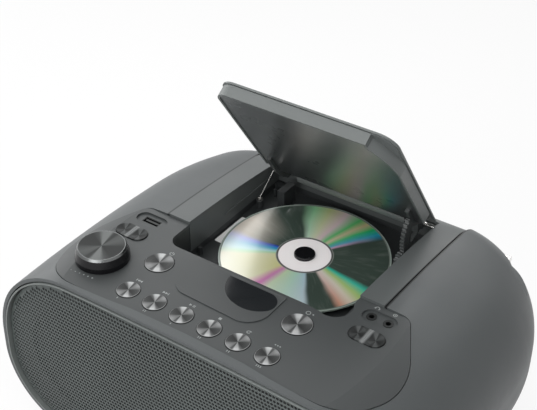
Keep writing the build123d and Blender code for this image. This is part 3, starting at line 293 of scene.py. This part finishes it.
# Bands of painted spectral sheen in the fans: start and end in degrees, hue at both ends, and how
# strong the colour is near the hub and near the rim
SHEEN_BANDS = (
    (58, 66, 0.56, 0.38, 0.80, 0.97),
    (73, 73, 0.11, 0.11, 0.40, 0.55),
    (80, 80, 0.36, 0.36, 0.80, 0.85),
    (91, 91, 0.97, 0.97, 0.22, 0.20),
    (104, 117, 0.20, 0.36, 0.28, 0.55),
    (188, 195, 0.65, 0.56, 1.00, 0.25),
    (202, 211, 0.50, 0.16, 0.40, 0.15),
    (247, 247, 0.16, 0.16, 0.55, 0.15),
    (258, 258, 0.89, 0.89, 0.65, 0.75),
    (268, 303, 0.26, 0.55, 0.35, 0.22),
    (329, 329, 0.04, 0.04, 0.25, 0.65),
    (337, 337, 0.10, 0.10, 0.18, 0.28),
    (345, 345, 0.24, 0.24, 0.65, 0.70),
    (352, 352, 0.45, 0.45, 0.95, 0.90),
)
# A pale stretch of painted sheen that shows only near the rim
PALE_SHEEN_SPAN = (164, 182)
PALE_SHEEN_COLOUR = (0.62, 0.57, 0.50)
# Colour of the disc between the fans of painted sheen
DARK_COLOUR = (0.050, 0.075, 0.060)
FAN_LIGHT = 0.86
STRONG_LOSS = 0.35
WIDE_SWEEP = 0.2
DISC_CENTRE = (0.0, 0.026, 0.0)
DISC_RADIUS = 0.06
FAN_RADII = (0.022, 0.055)
WANDER = 0.006
SHEEN_STREAK_TONE = (0.7, 0.76, 0.7)
HUB_RADII = (0.0198, 0.0204)
RIM_RADII = (0.0586, 0.0582)
DISC_METALLIC = 0.25
DISC_ROUGHNESS = 0.30
DISC_COAT = 0.35
DISC_COAT_ROUGHNESS = 0.12


def sheen_colour(hue, strength):
    """Painted light split into its colours: the stronger the colour, the less of the light is left."""
    return colorsys.hsv_to_rgb(hue, strength, FAN_LIGHT * (1 - STRONG_LOSS * strength))


def sheen_stops(near_rim):
    """Stops of one ramp of painted sheen round the disc, dark between the fans."""
    stops = [(degrees, DARK_COLOUR) for degrees in FAN_EDGES]
    for start, end, first_hue, last_hue, at_hub, at_rim in SHEEN_BANDS:
        strength = at_rim if near_rim else at_hub
        stops.append((start, sheen_colour(first_hue, strength)))
        if abs(last_hue - first_hue) > WIDE_SWEEP:
            middle_hue = (first_hue + last_hue) / 2
            stops.append(((start + end) / 2, sheen_colour(middle_hue, strength)))
        if end > start:
            stops.append((end, sheen_colour(last_hue, strength)))
    if near_rim:
        stops += [(degrees, PALE_SHEEN_COLOUR) for degrees in PALE_SHEEN_SPAN]
    else:
        place, hue, strength = PINK_EDGE
        stops += [(WIDE_FAN_START, DARK_COLOUR), (place, sheen_colour(hue, strength))]
    return [(degrees / 360, colour) for degrees, colour in sorted(stops)]


def disc_look():
    """A compact disc: fans of painted spectral sheen, a pale hub and a grey rim."""
    material, tree, shader = new_material("disc surface")
    share, radius = round_about(tree, DISC_CENTRE)[:2]
    wander = noise(tree, 22.0, 2.0)
    share = math_node(tree, "ADD", share, remap(tree, wander, 0.3, 0.7, -WANDER, WANDER))
    share = math_node(tree, "FRACT", math_node(tree, "ADD", share, 1.0))
    inner = ramp(tree, share, sheen_stops(False))
    outer = ramp(tree, share, sheen_stops(True))
    along = remap(tree, radius, *FAN_RADII, 0.0, 1.0)
    colour = mix_colour(tree, along, inner, outer)
    # Fine lighter streaks in the painted sheen
    streaks = tree.nodes.new("ShaderNodeTexNoise")
    streaks.inputs["Scale"].default_value = 1.0
    streaks.inputs["Detail"].default_value = 4.0
    across = math_node(tree, "MULTIPLY", share, 90.0)
    outward = math_node(tree, "MULTIPLY", radius, 60.0)
    tree.links.new(combine(tree, across, outward, 0.0), streaks.inputs["Vector"])
    streak = remap(tree, streaks.outputs["Fac"], 0.5, 0.8, 0.0, 0.10)
    colour = mix_colour(tree, streak, colour, SHEEN_STREAK_TONE)
    bands = ramp(
        tree,
        math_node(tree, "DIVIDE", radius, DISC_RADIUS),
        [
            (0.0, (0.98, 0.95, 0.94)),
            (0.304, (0.97, 0.93, 0.93)),
            (0.312, (0.05, 0.05, 0.05)),
            (0.322, (0.05, 0.05, 0.05)),
            (0.332, (0.30, 0.32, 0.29)),
            (0.972, (0.30, 0.32, 0.29)),
            (0.980, (0.10, 0.13, 0.11)),
            (0.990, (0.30, 0.36, 0.32)),
            (1.0, (0.30, 0.36, 0.32)),
        ],
    )
    recorded = math_node(
        tree,
        "MULTIPLY",
        remap(tree, radius, *HUB_RADII, 0.0, 1.0),
        remap(tree, radius, *RIM_RADII, 0.0, 1.0),
    )
    colour = mix_colour(tree, recorded, bands, colour)
    tree.links.new(colour, shader.inputs["Base Color"])
    tree.links.new(math_node(tree, "MULTIPLY", recorded, DISC_METALLIC), shader.inputs["Metallic"])
    shader.inputs["Roughness"].default_value = DISC_ROUGHNESS
    shader.inputs["Coat Weight"].default_value = DISC_COAT
    shader.inputs["Coat Roughness"].default_value = DISC_COAT_ROUGHNESS
    return material


SEAM_NEAR = (0.0007, 0.0012)
SEAM_FRONT = (-0.0165, -0.0150)
SEAM_SHADE = (0.008, 0.009, 0.009)
SEAM_AMOUNT = 0.9


def darken_seams(material, lines):
    """Dust and shade in the narrow grooves beside straight seams."""
    tree = material.node_tree
    shader = next(n for n in tree.nodes if n.bl_idname == "ShaderNodeBsdfPrincipled")
    source = shader.inputs["Base Color"].links[0].from_socket
    x, y, z = split_position(tree, (0, 0, 0))
    across = math_node(tree, "ABSOLUTE", math_node(tree, "SUBTRACT", math_node(tree, "ABSOLUTE", x), lines))
    near = remap(tree, across, *SEAM_NEAR, 1.0, 0.0)
    behind = remap(tree, y, *SEAM_FRONT, 0.0, 1.0)
    amount = math_node(tree, "MULTIPLY", near, math_node(tree, "MULTIPLY", behind, SEAM_AMOUNT))
    dark = mix_colour(tree, amount, source, SEAM_SHADE)
    tree.links.new(dark, shader.inputs["Base Color"])


SEAM_X = 0.0865
body = plastic("shell plastic", SHELL, 0.42, shine=0.3)
panel = plastic("panel plastic", PANEL, 0.44, shine=0.3)
deck = plastic("deck plastic", DECK, 0.42, shine=0.3)
darken_seams(body, SEAM_X)
darken_seams(deck, SEAM_X)
well = plastic("well plastic", WELL, 0.50)
lid = plastic("lid plastic", LID, 0.42, shine=0.3)
gloss = plastic("gloss liner", (0.036, 0.040, 0.041), 0.30, 2500.0, 0.000001, shine=1.0, coat=1.0)
black = plastic("black plastic", (0.012, 0.012, 0.013), 0.35)
arm = plastic("arm plastic", (0.060, 0.066, 0.066), 0.40)
glossy_black = plastic("gloss black", (0.004, 0.004, 0.005), 0.22, 1500.0, 0.000001, shine=0.3)
trim = plastic("trim plastic", (0.15, 0.165, 0.16), 0.38)
rubber = plastic("rubber", (0.02, 0.02, 0.02), 0.75)
white = plastic("white plastic", (0.72, 0.71, 0.67), 0.45)
label = plastic("paper label", (0.98, 0.98, 0.97), 0.7, spread=0.01)
board = plastic("circuit board", (0.02, 0.12, 0.04), 0.4)
glass = plastic("display glass", (0.012, 0.014, 0.016), 0.14, 2500.0, 0.000001, shine=0.3)
sheet_metal = plastic("grille sheet", (0.066, 0.079, 0.076), 0.36, 2500.0, 0.000006, 0.12)
steel = metal("plain steel", (0.62, 0.62, 0.62), 0.35)
nickel = metal("nickel", (0.78, 0.77, 0.75), 0.18)
chrome = metal("chrome", (0.80, 0.81, 0.81), 0.16)
ring_metal = metal("ring metal", (0.13, 0.135, 0.135), 0.28)
socket_metal = metal("dark socket metal", (0.045, 0.047, 0.047), 0.45)

slot_looks = {
    "body_grey": body,
    "panel_grey": panel,
    "deck_grey": deck,
    "well_black": well,
    "lid_grey": lid,
    "lid_gloss": gloss,
    "dark_arm": arm,
    "gloss_black": glossy_black,
    "button_dark": black,
    "spun_metal": chrome,
    "bright_trim": chrome,
    "display_glass": glass,
    "grille_metal": sheet_metal,
    "trim_grey": trim,
    "disc": label,
    "steel": steel,
    "nickel": nickel,
    "white_label": label,
    "rubber": rubber,
    "circuit": board,
    "inner_black": black,
    "cone_black": rubber,
    "drive_white": white,
}
FLAT_NODES = ("lid_liner",)
for part in frame["record"]["subparts"]:
    paint(part["node"], slot_looks[part["material_slot"]])
for name in nodes:
    if name not in FLAT_NODES:
        smooth(nodes[name])

# Spun faces of the buttons, rockers and knob, with painted sheen
# Dark and light ends of the painted sheen on the spun faces; the light end also sets the painted edge
# highlight
SPUN_DARK = (0.012, 0.013, 0.013)
SPUN_PAINTED_SHEEN = (0.52, 0.53, 0.53)
SMALL_RADIUS = 0.00775
LARGE_RADIUS = 0.00975
BUTTON_TOP = 0.1424
ROW_Y = -0.0918
SMALL_NAMES = ("skip_back", "skip_forward", "play", "stop", "repeat", "memory")
SMALL_X = (-0.0568, -0.03535, -0.0139, 0.00755, 0.0290, 0.05045)
SMALL_BUTTONS = {name + "_button": (x, ROW_Y) for name, x in zip(SMALL_NAMES, SMALL_X)}
LARGE_BUTTONS = {"power_button": (-0.0580, -0.0594), "function_button": (0.0495, -0.0584)}
for name, place in SMALL_BUTTONS.items():
    paint(name, spun_face(name + " face", place, SPUN_DARK, SPUN_PAINTED_SHEEN, SMALL_RADIUS, BUTTON_TOP))
for name, place in LARGE_BUTTONS.items():
    paint(name, spun_face(name + " face", place, SPUN_DARK, SPUN_PAINTED_SHEEN, LARGE_RADIUS, BUTTON_TOP))
ROCKERS = {"tuning_rocker": (-0.0948, -0.0438), "mode_rocker": (0.0900, -0.0438)}
ROCKER_DARK = (0.016, 0.017, 0.017)
ROCKER_PAINTED_SHEEN = (0.085, 0.090, 0.090)
ROCKER_BRIDGE = (0.26, 0.27, 0.27)
DISH_RADIUS = 0.0066
ROCKER_TOP = 0.1415
DISH_HALF_PITCH = 0.0062
for name, place in ROCKERS.items():
    face = spun_face(
        name + " face", place, ROCKER_DARK, ROCKER_PAINTED_SHEEN, DISH_RADIUS, ROCKER_TOP, DISH_HALF_PITCH,
        bridge=ROCKER_BRIDGE,
    )
    paint(name, face)
KNOB_PLACE = (-0.0924, -0.0760)
KNOB_DARK = (0.018, 0.019, 0.019)
KNOB_PAINTED_SHEEN = (0.150, 0.158, 0.156)
KNOB_RADIUS = 0.0160
KNOB_TOP = 0.1490
paint(
    "volume_knob_cap",
    spun_face("knob face", KNOB_PLACE, KNOB_DARK, KNOB_PAINTED_SHEEN, KNOB_RADIUS, KNOB_TOP),
)
paint("compact_disc", disc_look())
paint("usb_socket", socket_metal)
paint("jack_sockets", socket_metal)
paint("left_speaker_driver", black)
paint("right_speaker_driver", black)
paint("volume_knob_ring", ring_metal)
paint("damper_gear", arm)

# Perforated front sheet: slanting rows of round holes in a sheet that rolls back at its rim
LEAN = math.radians(1.8)
FRONT_MIDDLE = Vector((0, -0.1135, 0.073))
FRONT_RIGHT = Vector((1, 0, 0))
FRONT_UP = Vector((0, math.sin(LEAN), math.cos(LEAN)))
FRONT_IN = Vector((0, math.cos(LEAN), -math.sin(LEAN)))
HALF_WIDTH = 0.1595
END_RADIUS = 0.068
LOW_RADIUS = 0.055
TOP_Z = 0.1428
BOTTOM_Z = 0.004
SHEET_INSET = 0.0056
SHEET_DEPTH = 0.0010
SHEET_THICKNESS = 0.0004
TOP_DROP = 0.0014
TOP_STEPS = 16
LOW_STEPS = 12
HALF_HEIGHT = 0.075
STEP_ACROSS = (0.00253, 0.0)
STEP_UP = (-0.00084, 0.00272)
HOLE_RADIUS = 0.00106
HOLE_MARGIN = 0.0024
ROLL_WIDTH = 0.010
ROLL_DEPTH = 0.0016


def front_outline(inset):
    """Outline of the front in its own plane, as (across, up) from its middle."""
    top = TOP_Z - inset
    bottom = BOTTOM_Z + inset
    radius = END_RADIUS - inset
    low = LOW_RADIUS - inset
    width = HALF_WIDTH - inset
    centre = top - radius - TOP_DROP
    points = [(0.0, top)]
    for k in range(TOP_STEPS + 1):
        angle = math.radians(90 - 90 * k / TOP_STEPS)
        points.append((width - radius + radius * math.cos(angle), centre + radius * math.sin(angle)))
    for k in range(LOW_STEPS + 1):
        angle = math.radians(-90 * k / LOW_STEPS)
        points.append((width - low + low * math.cos(angle), bottom + low + low * math.sin(angle)))
    mirrored = [(-x, z) for x, z in reversed(points) if x > 1e-6]
    return [(x, z - FRONT_MIDDLE.z) for x, z in points + mirrored]


def inside(point, outline):
    x, y = point
    found = False
    for (x0, y0), (x1, y1) in zip(outline, outline[1:] + outline[:1]):
        if (y0 > y) != (y1 > y) and x < (x1 - x0) * (y - y0) / (y1 - y0) + x0:
            found = not found
    return found


def rim_distance(point, outline):
    x, y = point
    best = 1.0
    for (x0, y0), (x1, y1) in zip(outline, outline[1:] + outline[:1]):
        dx, dy = x1 - x0, y1 - y0
        t = ((x - x0) * dx + (y - y0) * dy) / (dx * dx + dy * dy)
        t = min(max(t, 0.0), 1.0)
        best = min(best, math.hypot(x - x0 - t * dx, y - y0 - t * dy))
    return best


def front_point(x, y, distance):
    fall = max(0.0, 1 - distance / ROLL_WIDTH) ** 2 * ROLL_DEPTH
    place = FRONT_MIDDLE + FRONT_RIGHT * x + FRONT_UP * y + FRONT_IN * (SHEET_DEPTH + fall)
    return place


def lattice(i, j):
    return i * STEP_ACROSS[0] + j * STEP_UP[0], i * STEP_ACROSS[1] + j * STEP_UP[1]


def perforated_sheet():
    outline = front_outline(SHEET_INSET)
    hole_limit = front_outline(SHEET_INSET + HOLE_MARGIN)
    rows = int(HALF_HEIGHT / STEP_UP[1]) + 1
    columns = int((HALF_WIDTH - rows * STEP_UP[0]) / STEP_ACROSS[0]) + 1
    corner_turns = [math.atan2(*reversed(lattice(a, b))) for a, b in ((1, 1), (-1, 1), (-1, -1), (1, -1))]
    hole_turns = []
    for k in range(4):
        gap = (corner_turns[(k + 1) % 4] - corner_turns[k]) % (2 * math.pi)
        hole_turns += [corner_turns[k], corner_turns[k] + gap / 2]
    mesh = bmesh.new()
    corners = {}

    def corner(i, j):
        if (i, j) not in corners:
            place = lattice(i - 0.5, j - 0.5)
            corners[i, j] = mesh.verts.new(front_point(*place, rim_distance(place, outline)))
        return corners[i, j]

    for i in range(-columns, columns + 1):
        for j in range(-rows, rows + 1):
            x, y = lattice(i, j)
            if not inside((x, y), hole_limit):
                continue
            distance = rim_distance((x, y), outline)
            hole = []
            for turn in hole_turns:
                px = x + HOLE_RADIUS * math.cos(turn)
                py = y + HOLE_RADIUS * math.sin(turn)
                hole.append(mesh.verts.new(front_point(px, py, distance)))
            points = [corner(i + 1, j + 1), corner(i, j + 1), corner(i, j), corner(i + 1, j)]
            for k in range(4):
                here, there = points[k], points[(k + 1) % 4]
                first, middle, last = hole[2 * k], hole[2 * k + 1], hole[(2 * k + 2) % len(hole)]
                mesh.faces.new((here, there, middle, first))
                mesh.faces.new((there, last, middle))
    corner_points = set(corners.values())
    border = [e for e in mesh.edges if e.is_boundary and all(v in corner_points for v in e.verts)]
    rim = []
    for x, y in outline:
        rim.append(mesh.verts.new(front_point(x, y, 0.0)))
    rim_edges = [mesh.edges.new((rim[k], rim[(k + 1) % len(rim)])) for k in range(len(rim))]
    bmesh.ops.triangle_fill(mesh, edges=border + rim_edges, use_beauty=True, use_dissolve=False)
    bmesh.ops.recalc_face_normals(mesh, faces=mesh.faces)
    if sum(face.normal.dot(FRONT_IN) for face in mesh.faces) > 0:
        bmesh.ops.reverse_faces(mesh, faces=mesh.faces)
    made = bpy.data.meshes.new("perforated_grille")
    mesh.to_mesh(made)
    mesh.free()
    obj = bpy.data.objects.new("perforated_grille", made)
    bpy.context.collection.objects.link(obj)
    thick = obj.modifiers.new("thickness", "SOLIDIFY")
    thick.thickness = SHEET_THICKNESS
    thick.offset = -1
    thick.use_rim_only = True
    return obj


grille = perforated_sheet()
grille.data.materials.append(sheet_metal)
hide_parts("front_grille")
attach(grille, "cabinet")

# Lid spring: a wound coil round the left pin with its long leg and short tail
COIL_AXIS = (0.0885, 0.1325)
COIL_RADIUS = 0.0024
COIL_TURNS = 4.25
COIL_START = -0.0661
COIL_PITCH = 0.0014
COIL_ANGLE = 116.0
POINTS_PER_TURN = 16
WIRE_RADIUS = 0.00045
LEG_END = (-0.0630, 0.0615, 0.1216)
TAIL_LENGTH = 0.0035


def coil_point(turns):
    angle = math.radians(COIL_ANGLE - 360 * turns)
    return (
        COIL_START + COIL_PITCH * turns,
        COIL_AXIS[0] + COIL_RADIUS * math.cos(angle),
        COIL_AXIS[1] + COIL_RADIUS * math.sin(angle),
    )


def wound_spring():
    steps = int(COIL_TURNS * POINTS_PER_TURN)
    points = [LEG_END] + [coil_point(k / POINTS_PER_TURN) for k in range(steps + 1)]
    last = Vector(points[-1])
    way = (last - Vector(points[-2])).normalized()
    points.append(tuple(last + way * TAIL_LENGTH))
    curve = bpy.data.curves.new("wound_spring", "CURVE")
    curve.dimensions = "3D"
    spline = curve.splines.new("POLY")
    spline.points.add(len(points) - 1)
    for target, point in zip(spline.points, points):
        target.co = (*point, 1)
    curve.bevel_depth = WIRE_RADIUS
    curve.bevel_resolution = 3
    curve.use_fill_caps = True
    obj = bpy.data.objects.new("wound_spring", curve)
    bpy.context.collection.objects.link(obj)
    return obj


spring = wound_spring()
spring.data.materials.append(nickel)
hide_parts("lid_spring")
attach(spring, "cabinet")

# Printed marks on the panel: plain pictograms laid on the surface itself
MARK_LIFT = 0.00004
RING_SIDES = 20
DOT_SIDES = 12
# Places on the panel in millimetres, across and back
BACK_ROW_Y = -80.7
FRONT_ROW_Y = -101.4
POWER_MARK = (-57.3, -47.2)
FUNCTION_MARK = (49.2, -45.4)
HEADPHONE_MARK = (82.3, -17.6)
LINE_MARK = (94.6, -17.0)
VOLUME_DOTS = (-100.8, -97.4)
panel_mesh = nodes["control_panel"].data
panel_tree = BVHTree.FromPolygons(
    [v.co for v in panel_mesh.vertices], [list(p.vertices) for p in panel_mesh.polygons]
)


def bar(x, y, width, height):
    w, h = width / 2, height / 2
    return [[(x - w, y - h), (x + w, y - h), (x + w, y + h), (x - w, y + h)]]


def arrow(x, y, size, way=1):
    return [[(x - way * size / 2, y - size / 2), (x + way * size / 2, y), (x - way * size / 2, y + size / 2)]]


def ring(x, y, outer, inner, first=0.0, turn=360.0):
    """A ring, or part of one, as short quads."""
    shapes = []
    for k in range(RING_SIDES):
        angles = [math.radians(first + turn * (k + step) / RING_SIDES) for step in (0, 1)]
        near, far = ([(x + r * math.cos(a), y + r * math.sin(a)) for a in angles] for r in (inner, outer))
        shapes.append([near[0], far[0], far[1], near[1]])
    return shapes


def dot(x, y, radius):
    turns = [2 * math.pi * k / DOT_SIDES for k in range(DOT_SIDES)]
    return [[(x + radius * math.cos(turn), y + radius * math.sin(turn)) for turn in turns]]


def panel_marks():
    size, thin = 2.0, 0.5
    row = [1000 * x for x in SMALL_X]
    back, front = BACK_ROW_Y, FRONT_ROW_Y
    shapes = bar(row[0] - 2.2, back, thin, size) + arrow(row[0] - 0.8, back, size, -1)
    shapes += arrow(row[0] + 1.2, back, size, -1)
    shapes += arrow(row[1] - 1.2, back, size) + arrow(row[1] + 0.8, back, size)
    shapes += bar(row[1] + 2.2, back, thin, size)
    shapes += arrow(row[2] - 1.3, back, size) + bar(row[2] + 0.7, back, thin, size)
    shapes += bar(row[2] + 1.7, back, thin, size)
    shapes += bar(row[3], back, size, size)
    shapes += ring(row[4], back, 1.3, 0.8, 60, 300) + arrow(row[4] + 1.3, back + 0.9, 1.2)
    for k in range(3):
        shapes += dot(row[5] + 1.7 * (k - 1), back, 0.5)
    for k, x in enumerate(row):
        for step in range(1 + k % 2 + k // 4):
            shapes += bar(x - 1.0 + 1.4 * step, front, thin, 1.5)
    x, y = POWER_MARK
    shapes += ring(x, y, 1.7, 1.2, 120, 300) + bar(x, y + 1.2, thin, 1.8)
    x, y = FUNCTION_MARK
    shapes += ring(x, y, 1.7, 1.2) + dot(x + 3.6, y, 0.6)
    x, y = HEADPHONE_MARK
    shapes += ring(x, y, 1.6, 1.1, 0, 180) + dot(x - 1.4, y - 0.2, 0.6) + dot(x + 1.4, y - 0.2, 0.6)
    x, y = LINE_MARK
    shapes += ring(x, y, 1.4, 0.9) + dot(x, y, 0.4)
    x, y = VOLUME_DOTS
    for k in range(6):
        shapes += dot(x + 3.4 * k, y + 0.3 * k, 0.30 + 0.07 * k)
    mesh = bmesh.new()
    for shape in shapes:
        corners = []
        for x, y in shape:
            place = panel_tree.ray_cast(Vector((x / 1000, y / 1000, 0.2)), Vector((0, 0, -1)))[0]
            corners.append(mesh.verts.new(place + Vector((0, 0, MARK_LIFT))))
        mesh.faces.new(corners)
    bmesh.ops.recalc_face_normals(mesh, faces=mesh.faces)
    made = bpy.data.meshes.new("panel_marks")
    mesh.to_mesh(made)
    mesh.free()
    obj = bpy.data.objects.new("panel_marks", made)
    bpy.context.collection.objects.link(obj)
    return obj


marks = panel_marks()
marks.data.materials.append(plastic("print grey", (0.30, 0.32, 0.315), 0.55))
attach(marks, "cabinet")


def seen_rays(tree):
    """One for rays that show the background: from the camera, off gloss and through glass."""
    path = tree.nodes.new("ShaderNodeLightPath")
    seen = math_node(tree, "MAXIMUM", path.outputs["Is Camera Ray"], path.outputs["Is Glossy Ray"])
    return math_node(tree, "MAXIMUM", seen, path.outputs["Is Transmission Ray"])


# Floor, backdrop, light and camera
FLOOR_HALF = 4
FLOOR_TONE = (0.86, 0.86, 0.86)
FLOOR_ROUGHNESS = 0.9
FLOOR_GLOW = 0.88
SKY_TINT = (0.93, 0.96, 1.0)
SKY_STRENGTH = 0.05
FLOOR_CORNERS = [(-1, -1), (1, -1), (1, 1), (-1, 1)]
floor_mesh = bpy.data.meshes.new("floor")
floor_places = [(FLOOR_HALF * x, FLOOR_HALF * y, 0) for x, y in FLOOR_CORNERS]
floor_mesh.from_pydata(floor_places, [], [(0, 1, 2, 3)])
floor = bpy.data.objects.new("floor", floor_mesh)
bpy.context.collection.objects.link(floor)
floor_look, tree, shader = new_material("floor")
shader.inputs["Base Color"].default_value = (*FLOOR_TONE, 1)
shader.inputs["Roughness"].default_value = FLOOR_ROUGHNESS
glow = tree.nodes.new("ShaderNodeEmission")
floor_mix = tree.nodes.new("ShaderNodeMixShader")
tree.links.new(math_node(tree, "MULTIPLY", seen_rays(tree), FLOOR_GLOW), floor_mix.inputs[0])
tree.links.new(shader.outputs[0], floor_mix.inputs[1])
tree.links.new(glow.outputs[0], floor_mix.inputs[2])
floor_out = next(n for n in tree.nodes if n.bl_idname == "ShaderNodeOutputMaterial")
tree.links.new(floor_mix.outputs[0], floor_out.inputs[0])
floor_mesh.materials.append(floor_look)

world = bpy.data.worlds.new("studio")
bpy.context.scene.world = world
world.use_nodes = True
tree = world.node_tree
tree.nodes.clear()
background = tree.nodes.new("ShaderNodeBackground")
bright = tree.nodes.new("ShaderNodeBackground")
mixer = tree.nodes.new("ShaderNodeMixShader")
out = tree.nodes.new("ShaderNodeOutputWorld")
background.inputs[0].default_value = (*SKY_TINT, 1)
background.inputs[1].default_value = SKY_STRENGTH
bright.inputs[0].default_value = (1, 1, 1, 1)
bright.inputs[1].default_value = 1.0
tree.links.new(seen_rays(tree), mixer.inputs[0])
tree.links.new(background.outputs[0], mixer.inputs[1])
tree.links.new(bright.outputs[0], mixer.inputs[2])
tree.links.new(mixer.outputs[0], out.inputs[0])


def soft_light(name, place, aim, size, power):
    lamp = bpy.data.lights.new(name, "AREA")
    lamp.shape = "RECTANGLE"
    lamp.size, lamp.size_y = size
    lamp.energy = power
    obj = bpy.data.objects.new(name, lamp)
    bpy.context.collection.objects.link(obj)
    obj.location = place
    way = Vector(aim) - Vector(place)
    obj.rotation_euler = way.to_track_quat("-Z", "Y").to_euler()
    return obj


soft_light("key", (-0.26, 0.38, 0.52), (-0.05, 0, 0.12), (0.55, 0.45), 1.25)
soft_light("top", (-0.5, -0.3, 1.2), (0, 0, 0.1), (0.9, 0.7), 6.0)
soft_light("back", (0.1, 1.2, 0.9), (0, 0, 0.1), (1.4, 0.5), 4.0)
soft_light("right fill", (0.5, -0.45, 1.1), (0, 0, 0.1), (0.7, 0.7), 5.0)
soft_light("left fill", (-1.1, 0.1, 0.5), (0, 0, 0.1), (0.8, 0.6), 4.2)
soft_light("front fill", (0.1, -1.1, 0.5), (0, 0, 0.1), (0.9, 0.5), 6.4)

CAMERA_PLACE = (0.3274, -0.4871, 0.5970)
CAMERA_AZIMUTH = 34.89
CAMERA_ELEVATION = 35.60
CAMERA_ROLL = -0.19
FOCAL_PIXELS = 1115.2
IMAGE_WIDTH = 537
SENSOR = 36.0
CLIP_START = 0.01
camera_data = bpy.data.cameras.new("camera")
camera = bpy.data.objects.new("camera", camera_data)
bpy.context.collection.objects.link(camera)
camera_data.sensor_width = SENSOR
camera_data.lens = FOCAL_PIXELS * SENSOR / IMAGE_WIDTH
camera_data.clip_start = CLIP_START
azimuth = math.radians(CAMERA_AZIMUTH)
elevation = math.radians(CAMERA_ELEVATION)
right = Vector((math.cos(azimuth), math.sin(azimuth), 0))
back = Vector(
    (
        math.sin(azimuth) * math.cos(elevation),
        -math.cos(azimuth) * math.cos(elevation),
        math.sin(elevation),
    )
)
up = back.cross(right)
roll = math.radians(CAMERA_ROLL)
side = right * math.cos(roll) + up * math.sin(roll)
top = up * math.cos(roll) - right * math.sin(roll)
camera.matrix_world = Matrix(
    [(side[k], top[k], back[k], CAMERA_PLACE[k]) for k in range(3)] + [(0, 0, 0, 1)]
)
bpy.context.scene.camera = camera
bpy.context.scene.view_settings.view_transform = "Standard"
